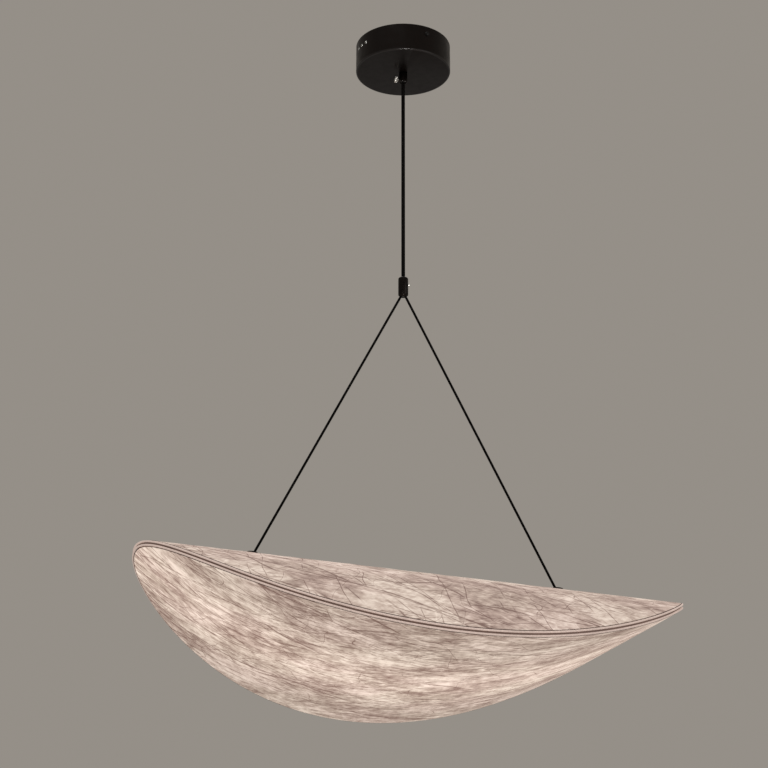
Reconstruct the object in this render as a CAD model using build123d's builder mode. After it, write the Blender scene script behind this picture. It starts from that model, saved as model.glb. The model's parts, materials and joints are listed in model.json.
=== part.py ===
from build123d import *

import os
from math import asin, cos, degrees, hypot, radians, sin, sqrt

# Pendant light: a ceiling cup, one cord that splits in two, and a paper shade of two
# bent sheets that meet in a rim shaped like a saddle. Millimetres, origin on the ceiling
# at the cup's centre, +Z up, X along the shade's ridge, -Y the side that is looked at.

# Ceiling cup
cup_radius = 65.0
cup_height = 39.0
cup_wall = 1.5
cup_edge_round = 1.6
cup_turn = 18.0
vent_radius = 1.7
vent_pitch = 10.2
vent_depth = 14.2
vents_each_side = 3

# Ceiling bracket inside the cup, and the two screws that hold the cup to it
bracket_width = 24.0
bracket_thickness = 1.5
bracket_wall_gap = 1.5
bracket_ear_width = 14.0
bracket_ear_height = 18.0
ceiling_bolt_spacing = 80.0
ceiling_bolt_hole_radius = 2.6
supply_entry_radius = 6.0
cup_screw_radius = 1.5
cup_screw_depth = 11.0
cup_screw_length = 9.0
cup_screw_head_radius = 2.8
cup_screw_head_height = 1.8
cup_screw_socket_width = 2.0
cup_screw_socket_depth = 1.0
cup_screw_hole_gap = 0.3
turning_gap = 0.08

# Driver, terminal block and leads on the cup's floor
driver_length = 70.0
driver_width = 30.0
driver_height = 20.0
driver_wall = 1.6
driver_wall_gap = 17.5
driver_lid_thickness = 2.0
driver_board_thickness = 1.6
driver_board_height = 4.0
driver_board_gap = 0.5
terminal_length = 34.0
terminal_width = 16.0
terminal_height = 15.0
terminal_wall_gap = 19.5
terminal_poles = 3
terminal_pole_pitch = 10.0
terminal_screw_radius = 2.0
terminal_screw_row_gap = 8.0
terminal_screw_depth = 3.0
terminal_screw_height = 2.0
supply_lead_radius = 1.1
supply_lead_spacing = 20.0
supply_lead_height = 10.0

# Cord grip under the cup, with its nut, bush and thumb screw
grip_radius = 5.75
grip_length = 15.0
grip_edge_round = 0.8
nipple_radius = 4.9
nipple_gap = 0.25
nut_across_flats = 16.0
nut_height = 5.0
nipple_past_nut = 1.5
thread_gap = 0.05
bush_radius = 3.9
bush_gap = 0.32
bush_above_mouth = 3.7
bush_lip_radius = 3.6
mouth_radius = 5.1
cord_bore_gap = 0.4
thumb_screw_radius = 1.5
thumb_screw_tip_gap = 0.35
thumb_head_radius = 4.2
thumb_head_thickness = 3.6
thumb_head_clear = 2.6
thumb_head_round = 0.5
thumb_flutes = 14
thumb_flute_radius = 0.55

# Main cord and the splitter below it
main_cord_radius = 2.5
cord_tail_rise = 12.0
cord_tail_bend = 6.5
splitter_top = -345.0
splitter_length = 27.0
splitter_radius = 6.6
splitter_top_round = 2.0
splitter_foot_chamfer = 2.4
splitter_bore_depth = 12.0
splitter_bore_gap = 0.3
splitter_screw_radius = 1.5
splitter_screw_depth = 9.7
splitter_screw_proud = 1.7
splitter_screw_tip_gap = 0.4
splitter_slot_width = 0.7
splitter_slot_depth = 0.9

# Branch cords, and the ball ends that hold them in the shade's glands
branch_cord_radius = 1.6
branch_exit = 3.4
branch_sunk = 2.2
branch_socket_gap = 0.06
ball_radius = 4.5
ball_socket_depth = 3.0

# Shade: two sheets, one straight along X and one straight along Y
shade_height = -816.3
shade_shift = -0.6
shade_tilt = 4.1
rim_radius = 338.5
rim_rise = 61.0
ridge_ease = 446.0
sheet_thickness = 0.8
sheet_hole_gap = 0.4
bead_radius = 1.35
bead_spacing = 5.3
bead_proud = 0.5
bead_gap = 0.2
hoop_radius = 1.75
hoop_inset = 2.6
hoop_end_gap = 2.0
hoop_joint_angle = 180.0
ferrule_length = 60.0
ferrule_wall = 0.3
ferrule_gap = 0.12
rim_arc_count = 16
profile_step_count = 12

# Glands on the ridge, which clamp the sheet to the light bar
hang_half = 195.0
gland_radius = 6.5
gland_height = 13.0
gland_seat_gap = 0.1
gland_cavity_gap = 0.4
gland_pivot = 7.4
gland_lip_radius = 4.0
gland_mouth_radius = 5.9
stem_radius = 4.6
stem_bore_radius = 2.2
stem_rise = 2.0
stem_past_nut = 1.0
gland_nut_across_flats = 14.0
gland_nut_height = 5.0

# Light bar under the ridge
bar_width = 22.0
bar_height = 12.0
bar_wall = 1.6
bar_gap = 0.2
bar_overhang = 24.0
bar_end_thickness = 2.0
bar_plug_length = 5.0
bar_plug_gap = 0.2
diffuser_thickness = 1.2
led_board_width = 12.0
led_board_thickness = 1.6
led_board_end_gap = 22.0
led_count = 24
led_length = 3.5
led_width = 2.8
led_height = 0.8
led_pitch = 13.0
inner_lead_radius = 0.8
inner_lead_drop = 2.0
inner_lead_bend = 1.7
inner_lead_inset = 4.0

# Worked out from the sizes above
cup_inner_radius = cup_radius - cup_wall
cup_floor = cup_wall - cup_height
driver_offset = cup_inner_radius - driver_wall_gap - driver_width / 2
terminal_offset = cup_inner_radius - terminal_wall_gap - terminal_width / 2
cup_plane = Plane.XY.rotated((0, 0, cup_turn))
cup_section = Plane.XZ.rotated((0, 0, cup_turn))
ear_outer_radius = cup_inner_radius - bracket_wall_gap
grip_mouth = -cup_height - grip_length
pivot_height = grip_mouth + bush_above_mouth
nut_top = cup_floor + nut_height
nipple_top = nut_top + nipple_past_nut
splitter_bottom = splitter_top - splitter_length
bush_cavity_radius = bush_radius + bush_gap
shade_plane = Plane((shade_shift, 0, shade_height)).rotated((0, shade_tilt, 0))
ridge_section = Plane(shade_plane.origin, x_dir=shade_plane.x_dir, z_dir=-shade_plane.y_dir)
cross_section = Plane(shade_plane.origin, x_dir=shade_plane.y_dir, z_dir=shade_plane.x_dir)
rim_fall = 2 * rim_rise / (hypot(rim_radius, ridge_ease) - ridge_ease)
sheet_rise = bead_spacing / 2 + bead_radius - bead_proud
sheet_edge_radius = rim_radius - bead_radius - bead_gap
ridge_top = rim_rise + sheet_rise
hang_height = ridge_top + gland_pivot
bar_top = ridge_top - sheet_thickness - bar_gap
bar_half = hang_half + bar_overhang
bar_roof = bar_top - bar_wall
bar_bottom = bar_top - bar_height
led_board_half = hang_half - led_board_end_gap
led_board_bottom = bar_roof - led_board_thickness
gland_cavity_radius = ball_radius + gland_cavity_gap
gland_lip = sqrt(gland_cavity_radius**2 - gland_lip_radius**2)
gland_lip_angle = degrees(asin(gland_lip / gland_cavity_radius))
stem_bottom = bar_roof - gland_nut_height - stem_past_nut
sides = (("left", -1), ("right", 1))

os.makedirs("parts", exist_ok=True)


def drop(y):
    """How far the top sheet lies below its ridge, at a distance y from it."""
    return rim_fall * (hypot(y, ridge_ease) - ridge_ease)


def rim_state(angle, radius, rise):
    """A point of the rim and the rim's direction there, for a path in plan radius and height."""
    across = rim_radius * sin(angle)
    steepness = rim_fall * across * rim_radius * cos(angle) / hypot(across, ridge_ease)
    point = shade_plane.from_local_coords(
        Vector(radius * cos(angle), radius * sin(angle), rim_rise - drop(across) + rise)
    )
    ahead = shade_plane.from_local_coords(
        Vector(-radius * sin(angle), radius * cos(angle), -steepness)
    )
    return point, (ahead - shade_plane.origin).normalized()


def rim_arcs(radius, rise, start_angle=0.0, turn=360.0, pair_count=rim_arc_count):
    """Draws a stretch of the rim as pairs of arcs, each pair tangent to the rim at its ends."""
    for pair in range(pair_count):
        start, start_dir = rim_state(radians(start_angle + turn * pair / pair_count), radius, rise)
        end, end_dir = rim_state(radians(start_angle + turn * (pair + 1) / pair_count), radius, rise)
        chord = end - start
        both = chord.dot(start_dir + end_dir)
        bend = 2 * (1 - start_dir.dot(end_dir))
        reach = (sqrt(both * both + bend * chord.dot(chord)) - both) / bend
        knee_in = start + start_dir * reach
        knee_out = end - end_dir * reach
        middle = (knee_in + knee_out) * 0.5
        TangentArc(start, middle, tangent=start_dir)
        TangentArc(middle, end, tangent=knee_out - knee_in)


def radial_plane(angle, height):
    """A plane through the cup's axis whose normal points outwards at an angle."""
    turn = radians(angle)
    return Plane((0, 0, height), x_dir=(-sin(turn), cos(turn), 0), z_dir=(cos(turn), sin(turn), 0))


# Ceiling cup: an open black cup with a row of vents at each side
with BuildPart() as canopy_cup:
    with BuildSketch():
        Circle(cup_radius)
    extrude(amount=-cup_height)
    fillet(canopy_cup.edges().group_by(Axis.Z)[0], cup_edge_round)
    with BuildSketch():
        Circle(cup_inner_radius)
    extrude(amount=cup_floor, mode=Mode.SUBTRACT)
    with BuildSketch(Plane.XY.offset(cup_floor)):
        Circle(nipple_radius + nipple_gap)
    extrude(amount=-cup_wall, mode=Mode.SUBTRACT)
    for side_angle in (cup_turn, cup_turn + 180):
        for place in range(vents_each_side):
            swing = degrees(vent_pitch / cup_radius) * (place - (vents_each_side - 1) / 2)
            with BuildSketch(radial_plane(side_angle + swing, -vent_depth)):
                Circle(vent_radius)
            extrude(amount=cup_radius, mode=Mode.SUBTRACT)
    for side_angle in (cup_turn + 90, cup_turn - 90):
        with BuildSketch(radial_plane(side_angle, -cup_screw_depth)):
            Circle(cup_screw_radius + cup_screw_hole_gap)
        extrude(amount=cup_radius, mode=Mode.SUBTRACT)
canopy_cup.part.label = "canopy_cup"
export_step(canopy_cup.part, "parts/canopy_cup.step")

# Ceiling bracket: a strip with two ears turned down, a cable entry and two bolt holes
with BuildPart() as ceiling_bracket:
    with BuildSketch(cup_plane):
        Rectangle(bracket_width, 2 * ear_outer_radius - bracket_ear_width)
        Rectangle(bracket_ear_width, 2 * ear_outer_radius)
        Circle(supply_entry_radius, mode=Mode.SUBTRACT)
        with GridLocations(0, ceiling_bolt_spacing, 1, 2):
            Circle(ceiling_bolt_hole_radius, mode=Mode.SUBTRACT)
    extrude(amount=-bracket_thickness)
    with BuildSketch(cup_plane):
        with GridLocations(0, 2 * ear_outer_radius - bracket_thickness, 1, 2):
            Rectangle(bracket_ear_width, bracket_thickness)
    extrude(amount=-bracket_ear_height)
    for side_angle in (cup_turn + 90, cup_turn - 90):
        with BuildSketch(radial_plane(side_angle, -cup_screw_depth)):
            Circle(cup_screw_radius + turning_gap)
        extrude(amount=cup_radius, mode=Mode.SUBTRACT)
ceiling_bracket.part.label = "ceiling_bracket"
export_step(ceiling_bracket.part, "parts/ceiling_bracket.step")

# Cup screws: one on the side that is looked at, one behind
for name, side_angle in (("front", cup_turn - 90), ("back", cup_turn + 90)):
    head_plane = radial_plane(side_angle, -cup_screw_depth).offset(cup_radius)
    with BuildPart() as cup_screw:
        with BuildSketch(head_plane):
            Circle(cup_screw_head_radius)
        extrude(amount=cup_screw_head_height)
        head_axis = Axis(head_plane.origin, head_plane.z_dir)
        fillet(cup_screw.faces().sort_by(head_axis)[-1].edges(), cup_screw_head_height / 2)
        with BuildSketch(head_plane):
            Circle(cup_screw_radius)
        extrude(amount=-cup_screw_length)
        with BuildSketch(head_plane.offset(cup_screw_head_height)):
            RegularPolygon(cup_screw_socket_width / 2, 6, major_radius=False)
        extrude(amount=-cup_screw_socket_depth, mode=Mode.SUBTRACT)
    cup_screw.part.label = f"cup_screw_{name}"
    export_step(cup_screw.part, f"parts/cup_screw_{name}.step")

# Driver case: an open box on the cup's floor, with its board and lid
with BuildPart() as driver_case:
    with BuildSketch(cup_plane.offset(cup_floor)):
        with Locations((driver_offset, 0)):
            Rectangle(driver_width, driver_length)
    extrude(amount=driver_height - driver_lid_thickness)
    with BuildSketch(cup_plane.offset(cup_floor + driver_wall)):
        with Locations((driver_offset, 0)):
            Rectangle(driver_width - 2 * driver_wall, driver_length - 2 * driver_wall)
    extrude(amount=driver_height, mode=Mode.SUBTRACT)
driver_case.part.label = "driver_case"
export_step(driver_case.part, "parts/driver_case.step")

with BuildPart() as driver_lid:
    with BuildSketch(cup_plane.offset(cup_floor + driver_height - driver_lid_thickness)):
        with Locations((driver_offset, 0)):
            Rectangle(driver_width, driver_length)
    extrude(amount=driver_lid_thickness)
    chamfer(driver_lid.faces().sort_by(Axis.Z)[-1].edges(), driver_lid_thickness / 3)
driver_lid.part.label = "driver_lid"
export_step(driver_lid.part, "parts/driver_lid.step")

with BuildPart() as driver_board:
    with BuildSketch(cup_plane.offset(cup_floor + driver_wall)):
        with Locations((driver_offset, 0)):
            with GridLocations(driver_width - 4 * driver_wall, driver_length - 4 * driver_wall, 2, 2):
                Circle(driver_wall / 2)
    extrude(amount=driver_board_height)
    with BuildSketch(cup_plane.offset(cup_floor + driver_wall + driver_board_height)):
        with Locations((driver_offset, 0)):
            Rectangle(
                driver_width - 2 * driver_wall - 2 * driver_board_gap,
                driver_length - 2 * driver_wall - 2 * driver_board_gap,
            )
    extrude(amount=driver_board_thickness)
driver_board.part.label = "driver_board"
export_step(driver_board.part, "parts/driver_board.step")

# Terminal block and its clamping screws, two to a pole
terminal_top = cup_floor + terminal_height
with BuildPart() as terminal_block:
    with BuildSketch(cup_plane.offset(cup_floor)):
        with Locations((-terminal_offset, 0)):
            Rectangle(terminal_width, terminal_length)
    extrude(amount=terminal_height)
    with BuildSketch(cup_plane.offset(terminal_top)):
        with Locations((-terminal_offset, 0)):
            with GridLocations(terminal_screw_row_gap, terminal_pole_pitch, 2, terminal_poles):
                Circle(terminal_screw_radius + turning_gap)
    extrude(amount=-terminal_screw_depth, mode=Mode.SUBTRACT)
terminal_block.part.label = "terminal_block"
export_step(terminal_block.part, "parts/terminal_block.step")

with BuildPart() as terminal_screws:
    with BuildSketch(cup_plane.offset(terminal_top - terminal_screw_depth)):
        with Locations((-terminal_offset, 0)):
            with GridLocations(terminal_screw_row_gap, terminal_pole_pitch, 2, terminal_poles):
                Circle(terminal_screw_radius)
    extrude(amount=terminal_screw_height)
terminal_screws.part.label = "terminal_screws"
export_step(terminal_screws.part, "parts/terminal_screws.step")

# Supply leads: from the terminal block straight across to the driver
lead_start = terminal_width / 2 - terminal_offset
lead_length = driver_offset - driver_width / 2 - lead_start
with BuildPart() as supply_leads:
    lead_plane = Plane(
        cup_plane.from_local_coords(Vector(lead_start, 0, cup_floor + supply_lead_height)),
        x_dir=cup_plane.y_dir,
        z_dir=cup_plane.x_dir,
    )
    with BuildSketch(lead_plane):
        with GridLocations(supply_lead_spacing, 0, 2, 1):
            Circle(supply_lead_radius)
    extrude(amount=lead_length)
supply_leads.part.label = "supply_leads"
export_step(supply_leads.part, "parts/supply_leads.step")

# Cord tail: the cord's end inside the cup, up out of the grip and over to the driver
tail_start = pivot_height + bush_cavity_radius + bush_gap
tail_height = nipple_top + cord_tail_rise
with BuildPart() as cord_tail:
    with BuildLine(cup_section) as tail_path:
        FilletPolyline(
            (0, tail_start),
            (0, tail_height),
            (driver_offset - driver_width / 2, tail_height),
            radius=cord_tail_bend,
        )
    with BuildSketch(Plane(tail_path.line @ 0, z_dir=tail_path.line % 0)):
        Circle(main_cord_radius)
    sweep()
cord_tail.part.label = "cord_tail"
export_step(cord_tail.part, "parts/cord_tail.step")

# Cord grip: a turned body with a threaded nipple, a ball seat and a flared mouth
with BuildPart() as grip_body:
    with BuildSketch(Plane.XY.offset(-cup_height)):
        Circle(grip_radius)
    extrude(amount=-grip_length)
    fillet(grip_body.edges().group_by(Axis.Z)[0], grip_edge_round)
    with BuildSketch(Plane.XY.offset(-cup_height)):
        Circle(nipple_radius)
    extrude(amount=nipple_top + cup_height)
    with BuildSketch(Plane.XY.offset(nipple_top)):
        Circle(main_cord_radius + cord_bore_gap)
    extrude(amount=pivot_height - nipple_top, mode=Mode.SUBTRACT)
    with Locations((0, 0, pivot_height)):
        Sphere(bush_cavity_radius, mode=Mode.SUBTRACT)
    with BuildSketch(Plane.XY.offset(grip_mouth)):
        Circle(mouth_radius)
    with BuildSketch(Plane.XY.offset(pivot_height - sqrt(bush_cavity_radius**2 - bush_lip_radius**2))):
        Circle(bush_lip_radius)
    loft(mode=Mode.SUBTRACT)
    with BuildSketch(radial_plane(180, pivot_height)):
        Circle(thumb_screw_radius + turning_gap)
    extrude(amount=grip_radius, mode=Mode.SUBTRACT)
grip_body.part.label = "grip_body"
export_step(grip_body.part, "parts/grip_body.step")

with BuildPart() as grip_nut:
    with BuildSketch(Plane.XY.offset(cup_floor)):
        RegularPolygon(nut_across_flats / 2, 6, major_radius=False)
        Circle(nipple_radius + thread_gap, mode=Mode.SUBTRACT)
    extrude(amount=nut_height)
grip_nut.part.label = "grip_nut"
export_step(grip_nut.part, "parts/grip_nut.step")

# Thumb screw on the grip's left, with a fluted head
thumb_plane = radial_plane(180, pivot_height)
thumb_head_start = grip_radius + thumb_head_clear
with BuildPart() as grip_screw:
    with BuildSketch(thumb_plane.offset(bush_cavity_radius + thumb_screw_tip_gap)):
        Circle(thumb_screw_radius)
    extrude(amount=thumb_head_start - bush_cavity_radius - thumb_screw_tip_gap)
    with BuildSketch(thumb_plane.offset(thumb_head_start)):
        Circle(thumb_head_radius)
    extrude(amount=thumb_head_thickness)
    head_faces = grip_screw.faces().filter_by(GeomType.PLANE).sort_by(Axis.X)
    fillet(head_faces[0].edges(), thumb_head_round)
    with BuildSketch(thumb_plane.offset(thumb_head_start)):
        with PolarLocations(thumb_head_radius, thumb_flutes):
            Circle(thumb_flute_radius)
    extrude(amount=thumb_head_thickness, mode=Mode.SUBTRACT)
grip_screw.part.label = "grip_screw"
export_step(grip_screw.part, "parts/grip_screw.step")

# Bush: a ball round the cord's upper end, which lets the cord lean in the grip
with BuildPart() as grip_bush:
    with Locations((0, 0, pivot_height)):
        Sphere(bush_radius)
    with BuildSketch(Plane.XY.offset(pivot_height)):
        Circle(main_cord_radius + thread_gap)
    extrude(amount=-bush_radius, mode=Mode.SUBTRACT)
grip_bush.part.label = "grip_bush"
export_step(grip_bush.part, "parts/grip_bush.step")

# Main cord: taut, from the bush down into the splitter
main_cord_end = splitter_top - splitter_bore_depth + splitter_bore_gap
with BuildPart() as main_cord:
    with BuildSketch(Plane.XY.offset(pivot_height)):
        Circle(main_cord_radius)
    extrude(amount=main_cord_end - pivot_height)
main_cord.part.label = "main_cord"
export_step(main_cord.part, "parts/main_cord.step")


def hang_point(sign):
    """The centre of a gland's ball, where a branch cord carries the shade."""
    return shade_plane.from_local_coords(Vector(sign * hang_half, 0, hang_height))


def branch_plane(sign):
    """A plane at a branch cord's upper end, whose normal runs down the cord."""
    mouth = Vector(sign * branch_exit, 0, splitter_bottom)
    along = (hang_point(sign) - mouth).normalized()
    return Plane(mouth - along * branch_sunk, z_dir=along)


# Splitter: a turned black body, bored for the cord above and for two cords below
with BuildPart() as splitter_body:
    with BuildSketch(Plane.XY.offset(splitter_top)):
        Circle(splitter_radius)
    extrude(amount=-splitter_length)
    fillet(splitter_body.edges().group_by(Axis.Z)[-1], splitter_top_round)
    chamfer(splitter_body.edges().group_by(Axis.Z)[0], splitter_foot_chamfer)
    with BuildSketch(Plane.XY.offset(splitter_top)):
        Circle(main_cord_radius + splitter_bore_gap)
    extrude(amount=-splitter_bore_depth, mode=Mode.SUBTRACT)
    for side, sign in sides:
        with BuildSketch(branch_plane(sign)):
            Circle(branch_cord_radius + branch_socket_gap)
        extrude(amount=splitter_radius, mode=Mode.SUBTRACT)
    with BuildSketch(radial_plane(0, splitter_top - splitter_screw_depth)):
        Circle(splitter_screw_radius + turning_gap)
    extrude(amount=splitter_radius, mode=Mode.SUBTRACT)
splitter_body.part.label = "splitter_body"
export_step(splitter_body.part, "parts/splitter_body.step")

# Splitter screw: a slotted grub screw that stands a little proud on the right
splitter_screw_plane = radial_plane(0, splitter_top - splitter_screw_depth)
splitter_screw_tip = main_cord_radius + splitter_bore_gap + splitter_screw_tip_gap
splitter_screw_end = splitter_radius + splitter_screw_proud
with BuildPart() as splitter_screw:
    with BuildSketch(splitter_screw_plane.offset(splitter_screw_tip)):
        Circle(splitter_screw_radius)
    extrude(amount=splitter_screw_end - splitter_screw_tip)
    with BuildSketch(splitter_screw_plane.offset(splitter_screw_end)):
        Rectangle(splitter_slot_width, 2 * splitter_screw_radius)
    extrude(amount=-splitter_slot_depth, mode=Mode.SUBTRACT)
splitter_screw.part.label = "splitter_screw"
export_step(splitter_screw.part, "parts/splitter_screw.step")

# Branch cords and their ball ends
for side, sign in sides:
    cord_plane = branch_plane(sign)
    cord_length = (hang_point(sign) - cord_plane.origin).length - ball_radius + ball_socket_depth
    with BuildPart() as branch_cord:
        with BuildSketch(cord_plane):
            Circle(branch_cord_radius)
        extrude(amount=cord_length)
    branch_cord.part.label = f"branch_cord_{side}"
    export_step(branch_cord.part, f"parts/branch_cord_{side}.step")

    with BuildPart() as cord_ball:
        with Locations(hang_point(sign)):
            Sphere(ball_radius)
        with BuildSketch(cord_plane.offset(cord_length)):
            Circle(branch_cord_radius + branch_socket_gap)
        extrude(amount=-ball_radius, mode=Mode.SUBTRACT)
    cord_ball.part.label = f"cord_ball_{side}"
    export_step(cord_ball.part, f"parts/cord_ball_{side}.step")

# Glands: a cap over the ball, a stem through the sheet and the bar, and a nut below
for side, sign in sides:
    base = Plane(
        shade_plane.from_local_coords(Vector(sign * hang_half, 0, ridge_top)),
        x_dir=shade_plane.x_dir,
        z_dir=shade_plane.z_dir,
    )
    base_section = Plane(base.origin, x_dir=base.x_dir, z_dir=-base.y_dir)
    with BuildPart() as gland_cap:
        with BuildSketch(base_section):
            with BuildLine():
                Polyline(
                    (gland_cavity_radius, gland_pivot),
                    (gland_cavity_radius, gland_seat_gap),
                    (gland_radius, gland_seat_gap),
                    (gland_radius, gland_height),
                    (gland_mouth_radius, gland_height),
                    (gland_lip_radius, gland_pivot + gland_lip),
                )
                CenterArc((0, gland_pivot), gland_cavity_radius, 0, gland_lip_angle)
            make_face()
        revolve(axis=Axis(base.origin, base.z_dir))
    gland_cap.part.label = f"gland_cap_{side}"
    export_step(gland_cap.part, f"parts/gland_cap_{side}.step")

    with BuildPart() as gland_stem:
        with BuildSketch(base.offset(stem_rise)):
            Circle(stem_radius)
            Circle(stem_bore_radius, mode=Mode.SUBTRACT)
        extrude(amount=stem_bottom - ridge_top - stem_rise)
    gland_stem.part.label = f"gland_stem_{side}"
    export_step(gland_stem.part, f"parts/gland_stem_{side}.step")

    with BuildPart() as gland_nut:
        with BuildSketch(base.offset(bar_roof - ridge_top)):
            RegularPolygon(gland_nut_across_flats / 2, 6, major_radius=False)
            Circle(stem_radius + thread_gap, mode=Mode.SUBTRACT)
        extrude(amount=-gland_nut_height)
    gland_nut.part.label = f"gland_nut_{side}"
    export_step(gland_nut.part, f"parts/gland_nut_{side}.step")

    lead_end = led_board_half - inner_lead_inset
    with BuildPart() as inner_lead:
        with BuildLine(ridge_section) as lead_path:
            FilletPolyline(
                (sign * hang_half, stem_bottom),
                (sign * hang_half, stem_bottom - inner_lead_drop),
                (sign * lead_end, stem_bottom - inner_lead_drop),
                (sign * lead_end, led_board_bottom),
                radius=inner_lead_bend,
            )
        with BuildSketch(Plane(lead_path.line @ 0, z_dir=lead_path.line % 0)):
            Circle(inner_lead_radius)
        sweep()
    inner_lead.part.label = f"inner_lead_{side}"
    export_step(inner_lead.part, f"parts/inner_lead_{side}.step")

# Light bar: a channel open downwards, bored for the two stems
with BuildPart() as light_bar:
    with BuildSketch(cross_section.offset(-bar_half)):
        with Locations((0, bar_top - bar_height / 2)):
            Rectangle(bar_width, bar_height)
        with Locations((0, bar_roof - bar_height / 2)):
            Rectangle(bar_width - 2 * bar_wall, bar_height, mode=Mode.SUBTRACT)
    extrude(amount=2 * bar_half)
    with BuildSketch(shade_plane.offset(bar_top)):
        with GridLocations(2 * hang_half, 0, 2, 1):
            Circle(stem_radius + sheet_hole_gap)
    extrude(amount=-bar_wall, mode=Mode.SUBTRACT)
light_bar.part.label = "light_bar"
export_step(light_bar.part, "parts/light_bar.step")

with BuildPart() as led_board:
    with BuildSketch(shade_plane.offset(bar_roof)):
        Rectangle(2 * led_board_half, led_board_width)
    extrude(amount=-led_board_thickness)
led_board.part.label = "led_board"
export_step(led_board.part, "parts/led_board.step")

with BuildPart() as led_chips:
    with BuildSketch(shade_plane.offset(led_board_bottom)):
        with GridLocations(led_pitch, 0, led_count, 1):
            Rectangle(led_length, led_width)
    extrude(amount=-led_height)
led_chips.part.label = "led_chips"
export_step(led_chips.part, "parts/led_chips.step")

with BuildPart() as bar_diffuser:
    with BuildSketch(shade_plane.offset(bar_bottom)):
        Rectangle(2 * bar_half, bar_width - 2 * bar_wall - 2 * bar_plug_gap)
    extrude(amount=diffuser_thickness)
bar_diffuser.part.label = "bar_diffuser"
export_step(bar_diffuser.part, "parts/bar_diffuser.step")

# Bar ends: a plate on each end of the channel, with a plug inside it
plug_height = bar_height - bar_wall - diffuser_thickness - 2 * bar_plug_gap
for side, sign in sides:
    end_plane = Plane(
        shade_plane.from_local_coords(Vector(sign * bar_half, 0, 0)),
        x_dir=shade_plane.y_dir * sign,
        z_dir=shade_plane.x_dir * sign,
    )
    with BuildPart() as bar_end:
        with BuildSketch(end_plane):
            with Locations((0, bar_top - bar_height / 2)):
                Rectangle(bar_width, bar_height)
        extrude(amount=bar_end_thickness)
        with BuildSketch(end_plane):
            with Locations((0, bar_roof - bar_plug_gap - plug_height / 2)):
                Rectangle(bar_width - 2 * bar_wall - 2 * bar_plug_gap, plug_height)
        extrude(amount=-bar_plug_length)
    bar_end.part.label = f"bar_end_{side}"
    export_step(bar_end.part, f"parts/bar_end_{side}.step")


def profile_points(height_at):
    """Points of a sheet's cross-section, evenly spread over the rim's width."""
    for place in range(profile_step_count + 1):
        off_middle = rim_radius * (2 * place / profile_step_count - 1)
        yield off_middle, height_at(off_middle)


def top_height(y):
    """The top sheet's outer face, above the rim's middle height."""
    return ridge_top - drop(y)


def bottom_height(x):
    """The bottom sheet's outer face: the rim's height where it crosses x, less the hem."""
    return rim_rise - drop(sqrt(rim_radius**2 - x * x)) - sheet_rise


# Top sheet: bent across the ridge, straight along it, cut round
with BuildPart() as top_sheet:
    with BuildSketch(cross_section):
        with BuildLine():
            outer = Spline(*profile_points(top_height))
            inner = Spline(*profile_points(lambda y: top_height(y) - sheet_thickness))
            Line(outer @ 0, inner @ 0)
            Line(outer @ 1, inner @ 1)
        make_face()
    extrude(amount=rim_radius, both=True)
    with BuildSketch(shade_plane.offset(-2 * rim_rise)):
        Circle(sheet_edge_radius)
        with GridLocations(2 * hang_half, 0, 2, 1):
            Circle(stem_radius + sheet_hole_gap, mode=Mode.SUBTRACT)
    extrude(amount=4 * rim_rise, mode=Mode.INTERSECT)
top_sheet.part.label = "top_sheet"
export_step(top_sheet.part, "parts/top_sheet.step")

# Bottom sheet: bent the other way, straight across, cut to the same round
with BuildPart() as bottom_sheet:
    with BuildSketch(ridge_section):
        with BuildLine():
            outer = Spline(*profile_points(bottom_height))
            inner = Spline(*profile_points(lambda x: bottom_height(x) + sheet_thickness))
            Line(outer @ 0, inner @ 0)
            Line(outer @ 1, inner @ 1)
        make_face()
    extrude(amount=rim_radius, both=True)
    with BuildSketch(shade_plane.offset(-2 * rim_rise)):
        Circle(sheet_edge_radius)
    extrude(amount=4 * rim_rise, mode=Mode.INTERSECT)
bottom_sheet.part.label = "bottom_sheet"
export_step(bottom_sheet.part, "parts/bottom_sheet.step")

# Beads: the piped hems of the two sheets, one above the other round the rim
with BuildPart() as upper_bead:
    with BuildLine() as upper_path:
        rim_arcs(rim_radius, bead_spacing / 2)
    with BuildSketch(Plane(upper_path.line @ 0, z_dir=upper_path.line % 0)):
        Circle(bead_radius)
    sweep()
upper_bead.part.label = "upper_bead"
export_step(upper_bead.part, "parts/upper_bead.step")

with BuildPart() as lower_bead:
    with BuildLine() as lower_path:
        rim_arcs(rim_radius, -bead_spacing / 2)
    with BuildSketch(Plane(lower_path.line @ 0, z_dir=lower_path.line % 0)):
        Circle(bead_radius)
    sweep()
lower_bead.part.label = "lower_bead"
export_step(lower_bead.part, "parts/lower_bead.step")

# Hoop: the spring rod behind the beads, whose ends meet in a ferrule at one end of the ridge
hoop_path_radius = rim_radius - hoop_inset
hoop_gap_angle = degrees(hoop_end_gap / hoop_path_radius)
ferrule_angle = degrees(ferrule_length / hoop_path_radius)
with BuildPart() as rim_hoop:
    with BuildLine() as hoop_path:
        rim_arcs(hoop_path_radius, 0, hoop_joint_angle + hoop_gap_angle / 2, 360 - hoop_gap_angle)
    with BuildSketch(Plane(hoop_path.line @ 0, z_dir=hoop_path.line % 0)):
        Circle(hoop_radius)
    sweep()
rim_hoop.part.label = "rim_hoop"
export_step(rim_hoop.part, "parts/rim_hoop.step")

with BuildPart() as hoop_ferrule:
    with BuildLine() as ferrule_path:
        rim_arcs(hoop_path_radius, 0, hoop_joint_angle - ferrule_angle / 2, ferrule_angle, 1)
    with BuildSketch(Plane(ferrule_path.line @ 0, z_dir=ferrule_path.line % 0)):
        Circle(hoop_radius + ferrule_gap + ferrule_wall)
        Circle(hoop_radius + ferrule_gap, mode=Mode.SUBTRACT)
    sweep()
hoop_ferrule.part.label = "hoop_ferrule"
export_step(hoop_ferrule.part, "parts/hoop_ferrule.step")
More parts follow.
